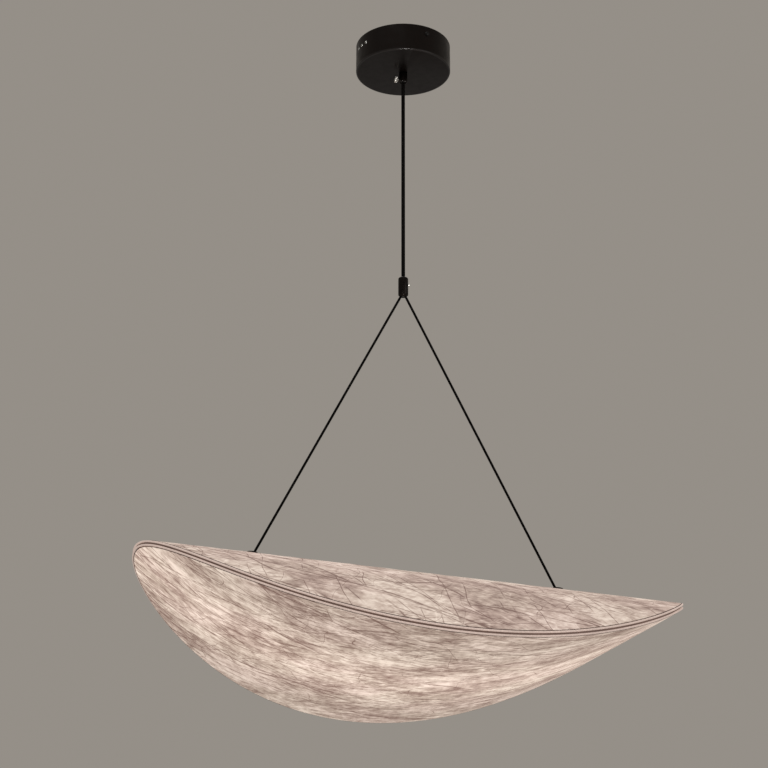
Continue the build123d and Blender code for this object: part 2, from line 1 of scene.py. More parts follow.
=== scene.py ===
"""Looks of a pendant light: a ceiling cup, a cord that splits in two, and a lit paper shade.

Every length is in metres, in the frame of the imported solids: the origin is on the ceiling at
the cup's centre, +Z is up, and X runs along the shade's ridge.
"""

import json
import logging
from dataclasses import dataclass
from enum import Enum
from math import cos, hypot, pi, radians, sin
from typing import Dict, List, Optional, Sequence, Tuple, Union

import bmesh
import bpy
import numpy as np
from bpy.types import ID, Material, Mesh, Node, NodeOutputs, NodeSocket, NodeTree, Object
from mathutils import Matrix, Vector

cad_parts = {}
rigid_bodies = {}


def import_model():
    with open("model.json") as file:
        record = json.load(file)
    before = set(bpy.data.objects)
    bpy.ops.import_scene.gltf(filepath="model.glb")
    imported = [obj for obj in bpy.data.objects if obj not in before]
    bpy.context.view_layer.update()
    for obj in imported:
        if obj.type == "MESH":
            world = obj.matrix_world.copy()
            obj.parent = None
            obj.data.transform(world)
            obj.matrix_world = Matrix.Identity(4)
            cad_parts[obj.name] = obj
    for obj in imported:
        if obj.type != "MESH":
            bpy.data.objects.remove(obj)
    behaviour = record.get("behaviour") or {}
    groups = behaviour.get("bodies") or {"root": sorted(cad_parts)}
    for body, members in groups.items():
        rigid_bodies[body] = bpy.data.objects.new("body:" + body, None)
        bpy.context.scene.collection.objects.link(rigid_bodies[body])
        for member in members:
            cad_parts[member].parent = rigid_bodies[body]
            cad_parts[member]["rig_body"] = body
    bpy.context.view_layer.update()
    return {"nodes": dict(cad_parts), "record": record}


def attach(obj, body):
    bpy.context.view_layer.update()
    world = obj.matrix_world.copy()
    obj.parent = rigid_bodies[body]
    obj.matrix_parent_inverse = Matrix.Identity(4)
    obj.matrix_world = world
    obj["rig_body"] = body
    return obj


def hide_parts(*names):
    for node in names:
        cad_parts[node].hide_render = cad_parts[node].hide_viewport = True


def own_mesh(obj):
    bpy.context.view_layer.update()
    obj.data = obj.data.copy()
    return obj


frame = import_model()
CORD_UV = "along_cord"
LOG = logging.getLogger("pendant_light")

Triple = Tuple[float, float, float]
SocketValue = Union[float, int, bool, Sequence[float], NodeSocket, Material]
Inputs = Dict[Union[str, int], SocketValue]


class Bend(Enum):
    """How a sheet of the shade is bent: over the ridge, or along it. The value is the tree's switch."""

    OVER_RIDGE = 0.0
    ALONG_RIDGE = 1.0


class Body(Enum):
    """The moving bodies that pieces of this file ride on."""

    CEILING = "ceiling_unit"
    DROP = "drop"
    YOKE = "yoke"
    SHADE = "shade"


class Easing(Enum):
    """How a value is mapped between two ends."""

    SMOOTH = "SMOOTHSTEP"
    EVEN = "LINEAR"


class Tree(Enum):
    """What a node group is a tree of."""

    SHADER = "ShaderNodeTree"
    GEOMETRY = "GeometryNodeTree"


class Socket(Enum):
    """Socket types of the node groups."""

    VALUE = "NodeSocketFloat"
    COUNT = "NodeSocketInt"
    VECTOR = "NodeSocketVector"
    GEOMETRY = "NodeSocketGeometry"
    MATERIAL = "NodeSocketMaterial"


Sockets = Dict[str, Socket]


def sockets(kind: Socket, *labels: str) -> Sockets:
    """Names sockets of one type."""
    return dict.fromkeys(labels, kind)


def scaled(colour: Triple, share: float = 1.0) -> Tuple[float, ...]:
    """Makes a linear colour lighter or darker by a share, and gives it an alpha of one."""
    return (*(min(1.0, part * share) for part in colour), 1.0)


class Wiring:
    """Adds nodes to one tree and links them."""

    def __init__(self, tree: NodeTree) -> None:
        """Keeps the tree that the nodes go into."""
        self.tree = tree

    @classmethod
    def group(cls, name: str, kind: Tree, inputs: Sockets, outputs: Sockets) -> Tuple["Wiring", NodeOutputs]:
        """Starts a node group.

        Args:
            name: Its name.
            kind: What it is a tree of.
            inputs: Types of its inputs, by name.
            outputs: Types of its outputs, by name.

        Returns:
            The group's wiring, and what the group is given.
        """
        tree = bpy.data.node_groups.new(name, kind.value)
        for way, labels in (("INPUT", inputs), ("OUTPUT", outputs)):
            for label, socket in labels.items():
                tree.interface.new_socket(name=label, in_out=way, socket_type=socket.value)
        wires = cls(tree)
        return wires, wires.add("NodeGroupInput")

    def fill(self, node: Node, inputs: Inputs) -> None:
        """Sets or links inputs of a node.

        Args:
            node: The node.
            inputs: Values or sockets, by the input's name or place.
        """
        for key, value in inputs.items():
            if isinstance(value, NodeSocket):
                self.tree.links.new(value, node.inputs[key])
            else:
                node.inputs[key].default_value = value

    def add(self, kind: str, inputs: Optional[Inputs] = None, **settings: object) -> NodeOutputs:
        """Adds a node.

        Args:
            kind: Its type.
            inputs: Values or sockets for its inputs, by name or place.
            **settings: Properties that are set before the inputs.

        Returns:
            Its outputs.
        """
        node = self.tree.nodes.new(kind)
        for label, setting in settings.items():
            setattr(node, label, setting)
        self.fill(node, inputs or {})
        return node.outputs

    def close(self, outputs: Inputs) -> NodeTree:
        """Gives a group its outputs, by name or place, and hands over its tree."""
        self.add("NodeGroupOutput", outputs)
        return self.tree

    def end(self, geometry: NodeSocket, material: NodeSocket) -> NodeTree:
        """Ends a geometry group in real, smooth, dressed geometry.

        Args:
            geometry: What it makes.
            material: Its material.

        Returns:
            Its tree.
        """
        real = self.add("GeometryNodeRealizeInstances", {0: geometry})[0]
        even = self.add("GeometryNodeSetShadeSmooth", {0: real})[0]
        return self.close({0: self.add("GeometryNodeSetMaterial", {0: even, "Material": material})[0]})

    def math(self, operation: str, *terms: SocketValue) -> NodeSocket:
        """Adds a Math node of an operation and its terms."""
        return self.add("ShaderNodeMath", dict(enumerate(terms)), operation=operation)[0]

    def vector(self, operation: str, *terms: SocketValue) -> NodeOutputs:
        """Adds a Vector Math node of an operation and its terms."""
        return self.add("ShaderNodeVectorMath", dict(enumerate(terms)), operation=operation)

    def blend(self, first: NodeSocket, second: NodeSocket, share: float) -> NodeSocket:
        """Mixes two masks by the share of the first."""
        return self.math("MULTIPLY_ADD", first, share, self.math("MULTIPLY", second, 1 - share))

    def ramp(
        self, value: NodeSocket, start: float, end: float,
        low: SocketValue = 0.0, high: SocketValue = 1.0, easing: Easing = Easing.SMOOTH,
    ) -> NodeSocket:
        """Maps a value from start..end onto low..high.

        Args:
            value: The value.
            start: Where the result is low.
            end: Where the result is high.
            low: The result at and before the start.
            high: The result at and after the end.
            easing: How it goes between them.

        Returns:
            The result.
        """
        ends = {"Value": value, "From Min": start, "From Max": end, "To Min": low, "To Max": high}
        return self.add("ShaderNodeMapRange", ends, interpolation_type=easing.value)["Result"]

    def mix(self, share: SocketValue, base: SocketValue, top: SocketValue, how: str = "MIX") -> NodeSocket:
        """Lays a top colour on a base, by a share and in a way of blending."""
        colours = {0: share, 6: base, 7: top}
        return self.add("ShaderNodeMix", colours, data_type="RGBA", blend_type=how)[2]

    def noise(
        self, vector: NodeSocket, scale: SocketValue, detail: float, roughness: float,
        flat: bool = False, seed: Optional[NodeSocket] = None,
    ) -> NodeOutputs:
        """Adds a noise texture.

        Args:
            vector: Where it is read.
            scale: Features per metre, about.
            detail: Octaves.
            roughness: How strong the fine octaves are.
            flat: Whether it varies in X and Y alone.
            seed: What sets it apart from its like, if anything.

        Returns:
            The noise's outputs.
        """
        inputs = {"Vector": vector, "Scale": scale, "Detail": detail, "Roughness": roughness}
        if seed is not None:
            inputs["W"] = seed
        space = "2D" if flat else "3D" if seed is None else "4D"
        return self.add("ShaderNodeTexNoise", inputs, noise_dimensions=space)

    def circle(self, points: SocketValue, radius: SocketValue) -> NodeSocket:
        """Adds a round curve of some points and a radius."""
        return self.add("GeometryNodeCurvePrimitiveCircle", {"Resolution": points, "Radius": radius})[0]

    def tube(self, line: NodeSocket, sides: SocketValue, radius: SocketValue) -> NodeSocket:
        """Adds a tube along a line, with its number of sides and its radius."""
        section = self.circle(sides, radius)
        return self.add("GeometryNodeCurveToMesh", {"Curve": line, "Profile Curve": section})[0]


@dataclass(frozen=True)
class FibreLayer:
    """Fibres in paper that lie one way: their angle in degrees, spacing, half width and length."""

    turn: float
    spacing: float
    width: float
    length: float


class Effects:
    """Shader node groups that more than one finish uses, each built once."""

    HAIRS = (
        FibreLayer(12.0, 0.024, 0.0015, 0.15),
        FibreLayer(37.0, 0.025, 0.0013, 0.16),
        FibreLayer(62.0, 0.023, 0.0009, 0.15),
        FibreLayer(82.0, 0.05, 0.0005, 0.13),
        FibreLayer(124.0, 0.045, 0.0006, 0.14),
        FibreLayer(143.0, 0.024, 0.001, 0.15),
        FibreLayer(166.0, 0.025, 0.0014, 0.15),
        FibreLayer(5.0, 0.058, 0.0028, 0.22),
        FibreLayer(27.0, 0.066, 0.0025, 0.2),
        FibreLayer(154.0, 0.062, 0.0025, 0.21),
    )
    STRANDS = (
        FibreLayer(22.0, 0.08, 0.009, 0.1),
        FibreLayer(62.0, 0.09, 0.007, 0.09),
        FibreLayer(155.0, 0.085, 0.009, 0.1),
    )
    GLEAMS = (
        FibreLayer(10.0, 0.037, 0.0038, 0.06),
        FibreLayer(48.0, 0.043, 0.0032, 0.055),
        FibreLayer(156.0, 0.041, 0.0036, 0.06),
    )
    # Noises: features per metre, octaves and roughness. The second four get their scale elsewhere.
    CLOUDS = (9.0, 2.0, 0.55)
    SMUDGES = (42.0, 3.0, 0.6)
    FELT = (130.0, 3.0, 0.65)
    RUNS = (1.6, 1.0, 0.55)
    MOTTLE = (3.0, 0.55)
    GRAIN = (4.0, 0.6)
    MARKS = (3.0, 0.7)
    BENDS = (2.0, 0.55)
    # The noise values that are spread over a whole range.
    NOISE_SPAN = (0.3, 0.7)
    MARK_SPAN = (0.28, 0.72)
    RUN_SPAN = (0.46, 0.6)
    TINT_SPAN = (0.35, 0.65)
    # Scales of the mottle and of a fibre's bends as shares, and how a fibre bends, lies and ends.
    MOTTLE_SHARE = 0.06
    BEND_SHARE = 0.7
    BEND_REACH = 2.0
    PLACE_SPREAD = 0.6
    PLACE_START = 0.2
    TURN_STEP = 100.0
    RUN_STEP = 71.0
    # How the felt lies, what each kind of mark adds to the paper's tone, and what two add to its relief.
    FELT_TURNS = (25.0, 85.0, 145.0)
    FELT_STRETCH = (3.0, 1.0, 1.0)
    BASE_TONE = 0.61
    TONES = {"clouds": 0.205, "smudges": 0.12, "felt": 0.1, "hairs": -0.65, "strands": -0.14, "gleams": 0.24}
    HAIR_RELIEF = 0.6
    FELT_RELIEF = 0.15

    def __init__(self) -> None:
        """Builds the groups."""
        self.surface_grain = self._surface_grain()
        self.drawn_marks = self._drawn_marks()
        self.fibre_lines = self._fibre_lines()
        self.paper_fibre = self._paper_fibre()

    def _start(self, name: str, inputs: Sequence[str], outputs: Sequence[str]) -> Tuple[Wiring, NodeOutputs]:
        """Starts a group that is given a place and some values, and gives values."""
        labels = {"Vector": Socket.VECTOR} | sockets(Socket.VALUE, *inputs)
        return Wiring.group(name, Tree.SHADER, labels, sockets(Socket.VALUE, *outputs))

    def _surface_grain(self) -> NodeTree:
        """Builds the unevenness of a painted, moulded or crinkled surface.

        Returns:
            A group with a broad mottle and a fine grain, both from 0 to 1.
        """
        wires, given = self._start("surface_grain", ["Scale"], ["Mottle", "Grain"])
        place, scale, ends = given["Vector"], given["Scale"], self.NOISE_SPAN
        mottle = wires.noise(place, wires.math("MULTIPLY", scale, self.MOTTLE_SHARE), *self.MOTTLE)[0]
        grain = wires.noise(place, scale, *self.GRAIN)[0]
        return wires.close({"Mottle": wires.ramp(mottle, *ends), "Grain": wires.ramp(grain, *ends)})

    def _drawn_marks(self) -> NodeTree:
        """Builds fine marks that run along one way, as on turned metal and drawn sheath.

        Returns:
            A group with the marks as a value from 0 to 1.
        """
        wires, given = self._start("drawn_marks", ["Scale"], ["Marks"])
        marks = wires.noise(given["Vector"], given["Scale"], *self.MARKS)[0]
        return wires.close({"Marks": wires.ramp(marks, *self.MARK_SPAN)})

    def _fibre_lines(self) -> NodeTree:
        """Builds lines that lie about one way, each bent, placed and ended at random.

        Returns:
            A group with a mask that is 1 along the lines.
        """
        wires, given = self._start("fibre_lines", ["Turn", "Spacing", "Width", "Length"], ["Mask"])
        turned = {"Vector": given["Vector"], "Angle": given["Turn"]}
        turned = wires.add("ShaderNodeVectorRotate", turned, rotation_type="Z_AXIS")[0]
        often = wires.math("DIVIDE", 1.0, given["Length"])
        bends = wires.math("MULTIPLY", often, self.BEND_SHARE)
        bends = wires.noise(turned, bends, *self.BENDS, flat=True)[0]
        place = wires.add("ShaderNodeSeparateXYZ", {0: turned})
        across = wires.math("DIVIDE", place["Y"], given["Spacing"])
        across = wires.math("MULTIPLY_ADD", bends, self.BEND_REACH, across)
        chance = wires.math("MULTIPLY", given["Turn"], self.TURN_STEP)
        chance = wires.math("ADD", wires.math("FLOOR", across), chance)
        chance = wires.add("ShaderNodeTexWhiteNoise", {"W": chance}, noise_dimensions="1D")["Value"]
        middle = wires.math("MULTIPLY_ADD", chance, self.PLACE_SPREAD, self.PLACE_START)
        away = wires.math("ABSOLUTE", wires.math("SUBTRACT", wires.math("FRACT", across), middle))
        away = wires.math("DIVIDE", wires.math("MULTIPLY", away, given["Spacing"]), given["Width"])
        line = wires.ramp(wires.math("SUBTRACT", 1.0, away), 0.0, 1.0)
        run = {"X": wires.math("MULTIPLY", place["X"], often)}
        run["Y"] = wires.math("MULTIPLY", chance, self.RUN_STEP)
        run = wires.noise(wires.add("ShaderNodeCombineXYZ", run)[0], *self.RUNS, flat=True)[0]
        return wires.close({"Mask": wires.math("MULTIPLY", line, wires.ramp(run, *self.RUN_SPAN))})

    def _paper_fibre(self) -> NodeTree:
        """Builds long-fibre paper: clouds, smudges, a fine felt, and hair-like fibres that lie every way.

        Returns:
            A group with the tone from dark to light, the tint and the relief, each from 0 to 1.
        """
        wires, given = self._start("paper_fibre", [], ["Tone", "Tint", "Relief"])
        place, swing = given["Vector"], (*self.NOISE_SPAN, -1.0, 1.0)
        broad = wires.noise(place, *self.CLOUDS, flat=True)
        smudged = wires.noise(place, *self.SMUDGES, flat=True)[0]
        felt = []
        for turn in self.FELT_TURNS:
            drawn = {"Vector": place, "Location": (0.0, turn, 0.0), "Rotation": (0.0, 0.0, radians(turn))}
            drawn["Scale"] = self.FELT_STRETCH
            drawn = wires.add("ShaderNodeMapping", drawn, vector_type="TEXTURE")[0]
            felt.append(wires.ramp(wires.noise(drawn, *self.FELT, flat=True)[0], *swing))
        marks = {"clouds": wires.ramp(broad[0], *swing), "smudges": wires.ramp(smudged, *swing)}
        marks["felt"] = wires.math("ADD", wires.math("ADD", felt[0], felt[1]), felt[2])
        for name, layers in (("hairs", self.HAIRS), ("strands", self.STRANDS), ("gleams", self.GLEAMS)):
            marks[name] = self._layers(wires, place, layers)
        tone = self.BASE_TONE
        for name, mark in marks.items():
            tone = wires.math("MULTIPLY_ADD", mark, self.TONES[name], tone)
        green = wires.add("ShaderNodeSeparateColor", {0: broad["Color"]})[1]
        relief = wires.math("MULTIPLY", marks["hairs"], self.HAIR_RELIEF)
        relief = wires.math("MULTIPLY_ADD", marks["felt"], self.FELT_RELIEF, relief)
        return wires.close({"Tone": tone, "Tint": wires.ramp(green, *self.TINT_SPAN), "Relief": relief})

    def _layers(self, wires: Wiring, place: NodeSocket, layers: Sequence[FibreLayer]) -> NodeSocket:
        """Adds layers of long thin fibres.

        Args:
            wires: The tree.
            place: Where they are read.
            layers: The layers.

        Returns:
            A mask that is 1 along the fibres.
        """
        mask = None
        for layer in layers:
            sizes = {"Vector": place, "Turn": radians(layer.turn), "Spacing": layer.spacing}
            sizes |= {"Width": layer.width, "Length": layer.length}
            line = wires.add("ShaderNodeGroup", sizes, node_tree=self.fibre_lines)[0]
            mask = line if mask is None else wires.math("MAXIMUM", mask, line)
        return mask


@dataclass(frozen=True)
class Uneven:
    """How uneven a finish is: its swing in colour, as a share, and in roughness, and its bump."""

    lift: float
    swing: float
    strength: float
    depth: float


@dataclass(frozen=True)
class Finish:
    """A finish: its name, main colour and roughness. The kinds below say how it is wired."""

    name: str
    colour: Triple
    roughness: float

    def wire(self, coat: "Coat") -> None:
        """Wires the finish into a coat; each kind has its own way."""
        raise NotImplementedError


class Coat(Wiring):
    """The wiring of a material: its Principled BSDF and the shared node groups."""

    def __init__(self, finish: Finish, effects: Effects) -> None:
        """Makes a material of a finish.

        Args:
            finish: The finish.
            effects: The shared node groups.
        """
        self.material = bpy.data.materials.new(finish.name)
        self.material.use_nodes = True
        self.material.diffuse_color = scaled(finish.colour)
        super().__init__(self.material.node_tree)
        self.shader = self.tree.nodes["Principled BSDF"]
        self.effects = effects
        finish.wire(self)

    def put(self, inputs: Inputs) -> None:
        """Sets or links inputs of the shader, by name."""
        self.fill(self.shader, inputs)

    def here(self) -> NodeSocket:
        """Adds the place on the surface, in object coordinates."""
        return self.add("ShaderNodeTexCoord")["Object"]

    def effect(self, group: NodeTree, **inputs: SocketValue) -> NodeOutputs:
        """Adds a shared node group, with its inputs by name."""
        return self.add("ShaderNodeGroup", inputs, node_tree=group)

    def grain(self, place: NodeSocket, scale: float) -> NodeOutputs:
        """Adds the surface grain at a place, with its fine features per metre."""
        return self.effect(self.effects.surface_grain, Vector=place, Scale=scale)

    def bump(self, height: NodeSocket, strength: float, depth: float) -> None:
        """Feeds a height from 0 to 1 to the normal, with the bump's strength and its depth in metres."""
        inputs = {"Strength": strength, "Distance": depth, "Height": height}
        self.put({"Normal": self.add("ShaderNodeBump", inputs)[0]})

    def vary(self, finish: Finish, mask: NodeSocket, height: NodeSocket, uneven: Uneven) -> None:
        """Varies the colour and the roughness by a mask, and the normal by a height.

        Args:
            finish: The finish.
            mask: A value from 0 to 1.
            height: A height from 0 to 1.
            uneven: How far they vary.
        """
        dark, light = (scaled(finish.colour, 1 + way * uneven.lift) for way in (-1, 1))
        ends = (finish.roughness + uneven.swing, finish.roughness - uneven.swing)
        self.put({"Base Color": self.mix(mask, dark, light), "Roughness": self.ramp(mask, 0.0, 1.0, *ends)})
        self.bump(height, uneven.strength, uneven.depth)


@dataclass(frozen=True)
class Moulded(Finish):
    """Moulded plastic or coated board with a fine grain and a broad mottle, which may glow."""

    grain: float = 1500.0
    shine: float = 0.5
    glow: float = 0.0
    uneven: Uneven = Uneven(lift=0.08, swing=0.06, strength=0.15, depth=0.0001)

    def wire(self, coat: Coat) -> None:
        """Wires the grain into a coat.

        Args:
            coat: The material.
        """
        grain = coat.grain(coat.here(), self.grain)
        coat.put({"Specular IOR Level": self.shine})
        coat.vary(self, grain["Mottle"], grain["Grain"], self.uneven)
        if self.glow:
            coat.put({"Emission Color": scaled(self.colour), "Emission Strength": self.glow})


@dataclass(frozen=True)
class SatinPaint(Moulded):
    """Sprayed paint with a fine orange peel."""

    grain: float = 1800.0
    uneven: Uneven = Uneven(lift=0.18, swing=0.05, strength=0.08, depth=0.00002)


@dataclass(frozen=True)
class EdgedPaint(SatinPaint):
    """Sprayed paint on a round cup, rubbed glossy along the edge of its floor."""

    edge_radius: float = 0.065
    edge_depth: float = -0.039
    edge_width: float = 0.003
    rub: float = 0.45
    rub_roughness: float = 0.3
    tint: Triple = (1.0, 0.86, 0.8)

    def wire(self, coat: Coat) -> None:
        """Wires the paint into a coat, and a glossy layer along the edge.

        Args:
            coat: The material.
        """
        super().wire(coat)
        place = coat.here()
        flat = coat.vector("MULTIPLY", place, (1.0, 1.0, 0.0))[0]
        reach = coat.vector("LENGTH", flat)["Value"]
        level = coat.add("ShaderNodeSeparateXYZ", {0: place})["Z"]
        far, near = self.edge_width, self.edge_width / 3
        outer = coat.ramp(reach, self.edge_radius - far, self.edge_radius - near)
        lower = coat.ramp(level, self.edge_depth + far, self.edge_depth + near)
        rubbed = coat.math("MULTIPLY", coat.math("MULTIPLY", outer, lower), self.rub)
        coat.put({"Coat Weight": rubbed, "Coat Roughness": self.rub_roughness})
        coat.put({"Specular Tint": scaled(self.tint)})


@dataclass(frozen=True)
class Drawn(Finish):
    """Metal with marks along the way it was worked, and a broad mottle. It may read a UV map."""

    stretch: Triple = (1.0, 1.0, 1.0)
    marks: float = 1200.0
    grain: float = 700.0
    mark_share: float = 0.6
    metallic: float = 1.0
    shine: float = 0.5
    uv_map: Optional[str] = None
    uneven: Uneven = Uneven(lift=0.12, swing=0.09, strength=0.08, depth=0.0001)

    def wire(self, coat: Coat) -> None:
        """Wires the marks and the mottle into a coat.

        Args:
            coat: The material.
        """
        place = coat.add("ShaderNodeUVMap", uv_map=self.uv_map)[0] if self.uv_map else coat.here()
        along = coat.add("ShaderNodeMapping", {"Vector": place, "Scale": self.stretch})[0]
        marks = coat.effect(coat.effects.drawn_marks, Vector=along, Scale=self.marks)[0]
        mask = coat.blend(marks, coat.grain(place, self.grain)["Mottle"], self.mark_share)
        coat.put({"Metallic": self.metallic, "Specular IOR Level": self.shine})
        coat.vary(self, mask, marks, self.uneven)


@dataclass(frozen=True)
class DrawnSheath(Drawn):
    """A cord's plastic sheath, with faint marks along its length."""

    stretch: Triple = (0.06, 1.0, 1.0)
    marks: float = 900.0
    grain: float = 600.0
    mark_share: float = 0.5
    metallic: float = 0.0
    shine: float = 0.06
    uv_map: Optional[str] = CORD_UV
    uneven: Uneven = Uneven(lift=0.2, swing=0.04, strength=0.06, depth=0.00003)


@dataclass(frozen=True)
class LitPaper(Finish):
    """Paper that is part lit and part lit through, where the light through it is painted as an emission. Its
    colour is the mean of what shows.
    """

    lit: float = 0.5
    glow: float = 0.55
    shine: float = 0.2

    def show(self, coat: Coat, shown: NodeSocket, through: NodeSocket) -> None:
        """Shares what shows between the lit surface and the painted glow.

        Args:
            coat: The material.
            shown: The colour that shows.
            through: The painted glow's colour.
        """
        base = coat.mix(1.0, shown, scaled((self.lit,) * 3), "MULTIPLY")
        coat.put({"Base Color": base, "Specular IOR Level": self.shine})
        # Painted light: the emission stands in for the bar's light shining through the paper.
        coat.put({"Emission Color": through, "Emission Strength": self.glow})


@dataclass(frozen=True)
class FibrePaper(LitPaper):
    """Long-fibre paper lit from inside by a bar along the ridge.

    The glow is painted: a painted pool of the bar's light, strongest over the bar, that falls off sideways
    within the bar's reach.
    """

    dark: Triple = (0.2, 0.113, 0.091)
    light: Triple = (0.92, 0.765, 0.67)
    pink: Triple = (1.0, 0.98, 0.97)
    green: Triple = (0.99, 1.0, 0.97)
    main_tone: float = 0.55
    shift: Triple = (0.0, 0.0, 0.0)
    turn: float = 0.0
    painted_bar_glow: float = 0.5
    painted_glow_reach: float = 0.27
    smoother: float = 0.08
    rougher: float = 0.06
    sheen: float = 0.2
    bump_strength: float = 0.3
    bump_depth: float = 0.0004

    def wire(self, coat: Coat) -> None:
        """Wires the fibre pattern into a coat's colour, glow and bump.

        Args:
            coat: The material.
        """
        form = ShadeForm()
        level = {"Vector": coat.here(), "Location": form.centre, "Rotation": (0.0, form.tilt, 0.0)}
        level = coat.add("ShaderNodeMapping", level, vector_type="TEXTURE")[0]
        along = {"Vector": level, "Location": self.shift, "Rotation": (0.0, 0.0, radians(self.turn))}
        along = coat.add("ShaderNodeMapping", along, vector_type="TEXTURE")[0]
        fibre = coat.effect(coat.effects.paper_fibre, Vector=along)
        tone = fibre["Tone"]
        below = coat.ramp(tone, 0.0, self.main_tone, easing=Easing.EVEN)
        above = coat.ramp(tone, self.main_tone, 1.0, easing=Easing.EVEN)
        shown = coat.mix(below, scaled(self.dark), scaled(self.colour))
        shown = coat.mix(above, shown, scaled(self.light))
        tint = coat.mix(fibre["Tint"], scaled(self.pink), scaled(self.green))
        shown = coat.mix(1.0, shown, tint, "MULTIPLY")
        # Painted pool of light: the glow's colour is painted brighter over the bar and fades sideways within
        # its reach.
        aside = coat.math("ABSOLUTE", coat.add("ShaderNodeSeparateXYZ", {0: level})["Y"])
        lamp = coat.ramp(aside, self.painted_glow_reach, 0.0, 1.0, 1.0 + self.painted_bar_glow)
        self.show(coat, shown, coat.mix(1.0, shown, lamp, "MULTIPLY"))
        ends = (self.roughness - self.smoother, self.roughness + self.rougher)
        coat.put({"Roughness": coat.ramp(tone, 0.0, 1.0, *ends)})
        coat.put({"Sheen Weight": self.sheen, "Sheen Tint": scaled(self.light)})
        coat.bump(fibre["Relief"], self.bump_strength, self.bump_depth)


@dataclass(frozen=True)
class PipedPaper(LitPaper):
    """Paper folded into a piped hem, with a fine crinkle."""

    crinkle: float = 420.0
    crinkle_share: float = 0.6
    darkest: float = 0.84
    lightest: float = 1.1
    bump_strength: float = 0.2
    bump_depth: float = 0.0002

    def wire(self, coat: Coat) -> None:
        """Wires the crinkle into a coat's colour, glow and bump.

        Args:
            coat: The material.
        """
        grain = coat.grain(coat.here(), self.crinkle)
        mask = coat.blend(grain["Grain"], grain["Mottle"], self.crinkle_share)
        shown = coat.mix(mask, scaled(self.colour, self.darkest), scaled(self.colour, self.lightest))
        self.show(coat, shown, shown)
        coat.put({"Roughness": self.roughness})
        coat.bump(grain["Grain"], self.bump_strength, self.bump_depth)


@dataclass(frozen=True)
class ShadeForm:
    """The saddle that the hoop bends the shade's two sheets into."""

    centre: Triple = (-0.0006, 0.0, -0.8163)
    tilt: float = radians(4.1)
    rim_radius: float = 0.3385
    rim_rise: float = 0.061
    ridge_ease: float = 0.446
    sheet_radius: float = 0.33695
    sheet_thickness: float = 0.0008
    hem_rise: float = 0.0035
    hang_half: float = 0.195
    hang_rise: float = 0.0719

    @property
    def rim_fall(self) -> float:
        """How fast the rim falls away from the ridge."""
        return 2 * self.rim_rise / (hypot(self.rim_radius, self.ridge_ease) - self.ridge_ease)

    @property
    def matrix(self) -> Matrix:
        """The turn and the shift from the shade's own axes to the frame."""
        return Matrix.Translation(self.centre) @ Matrix.Rotation(self.tilt, 4, "Y")

    def hang_point(self, sign: int) -> Vector:
        """The centre of a gland's ball, on the left for -1 and the right for 1."""
        return self.matrix @ Vector((sign * self.hang_half, 0.0, self.hang_rise))

    def hem(self, bend: Bend) -> float:
        """How far a sheet's outer face lies above the rim's line at its hem."""
        return self.hem_rise if bend is Bend.OVER_RIDGE else -self.hem_rise

    def profile(self, bend: Bend, across: np.ndarray) -> np.ndarray:
        """Heights of a sheet along the way it is bent.

        Args:
            bend: Which sheet.
            across: Distances from its middle.

        Returns:
            The heights of its outer face above the rim's middle.
        """
        square = across**2 if bend is Bend.OVER_RIDGE else self.rim_radius**2 - across**2
        fall = self.rim_fall * (np.sqrt(square + self.ridge_ease**2) - self.ridge_ease)
        return self.rim_rise - fall + self.hem(bend)

    def flat_cut(self, bend: Bend, steps: int = 800) -> Triple:
        """The size of a sheet laid flat.

        Args:
            bend: Which sheet.
            steps: In how many steps it is measured.

        Returns:
            Its width along its straight lines, its length along the bend, and its area.
        """
        across = np.linspace(-self.sheet_radius, self.sheet_radius, steps + 1)
        lengths = np.hypot(np.diff(across), np.diff(self.profile(bend, across)))
        middles = (across[1:] + across[:-1]) / 2
        chords = 2 * np.sqrt(self.sheet_radius**2 - middles**2)
        return 2 * self.sheet_radius, float(lengths.sum()), float((lengths * chords).sum())


def show(name: str, data: ID) -> Object:
    """Puts data, such as a mesh that is already in place, into the scene.

    Args:
        name: The name that it gets there.
        data: The data.

    Returns:
        The object that shows it.
    """
    piece = bpy.data.objects.new(name, data)
    bpy.context.scene.collection.objects.link(piece)
    return piece


def settled(piece: Object) -> Mesh:
    """Gives a piece as a plain mesh, with its modifiers applied.

    Args:
        piece: The piece.

    Returns:
        A new mesh.
    """
    graph = bpy.context.evaluated_depsgraph_get()
    shape = piece.evaluated_get(graph)
    return bpy.data.meshes.new_from_object(shape, preserve_all_data_layers=True, depsgraph=graph)


def settle(piece: Object) -> None:
    """Turns a piece's modifiers into a plain mesh and removes them.

    Args:
        piece: An object with modifiers.
    """
    mesh = settled(piece)
    piece.modifiers.clear()
    piece.data = mesh
    mesh.name = piece.name


def to_mesh(shape: bmesh.types.BMesh, name: str) -> Mesh:
    """Turns an edited shape into a mesh and frees it.

    Args:
        shape: The shape.
        name: The mesh's name.

    Returns:
        The mesh.
    """
    mesh = bpy.data.meshes.new(name)
    shape.to_mesh(mesh)
    shape.free()
    return mesh


def smooth(mesh: Mesh, sharp_angle: float = 32.0) -> None:
    """Shades a mesh smooth, and keeps edges from an angle in degrees sharp."""
    mesh.shade_smooth()
    mesh.set_sharp_from_angle(angle=radians(sharp_angle))


def grow(name: str, tree: NodeTree, sizes: Dict[str, SocketValue]) -> Object:
    """Makes a piece from a geometry node tree.

    Args:
        name: The piece's name.
        tree: The tree.
        sizes: Values by the names of its inputs, in small letters and with underscores.

    Returns:
        The piece, as a plain mesh.
    """
    piece = show(name, bpy.data.meshes.new(name))
    modifier = piece.modifiers.new("grow", "NODES")
    modifier.node_group = tree
    for item in tree.interface.items_tree:
        if item.in_out == "INPUT":
            modifier[item.identifier] = sizes[item.name.lower().replace(" ", "_")]
    settle(piece)
    return piece


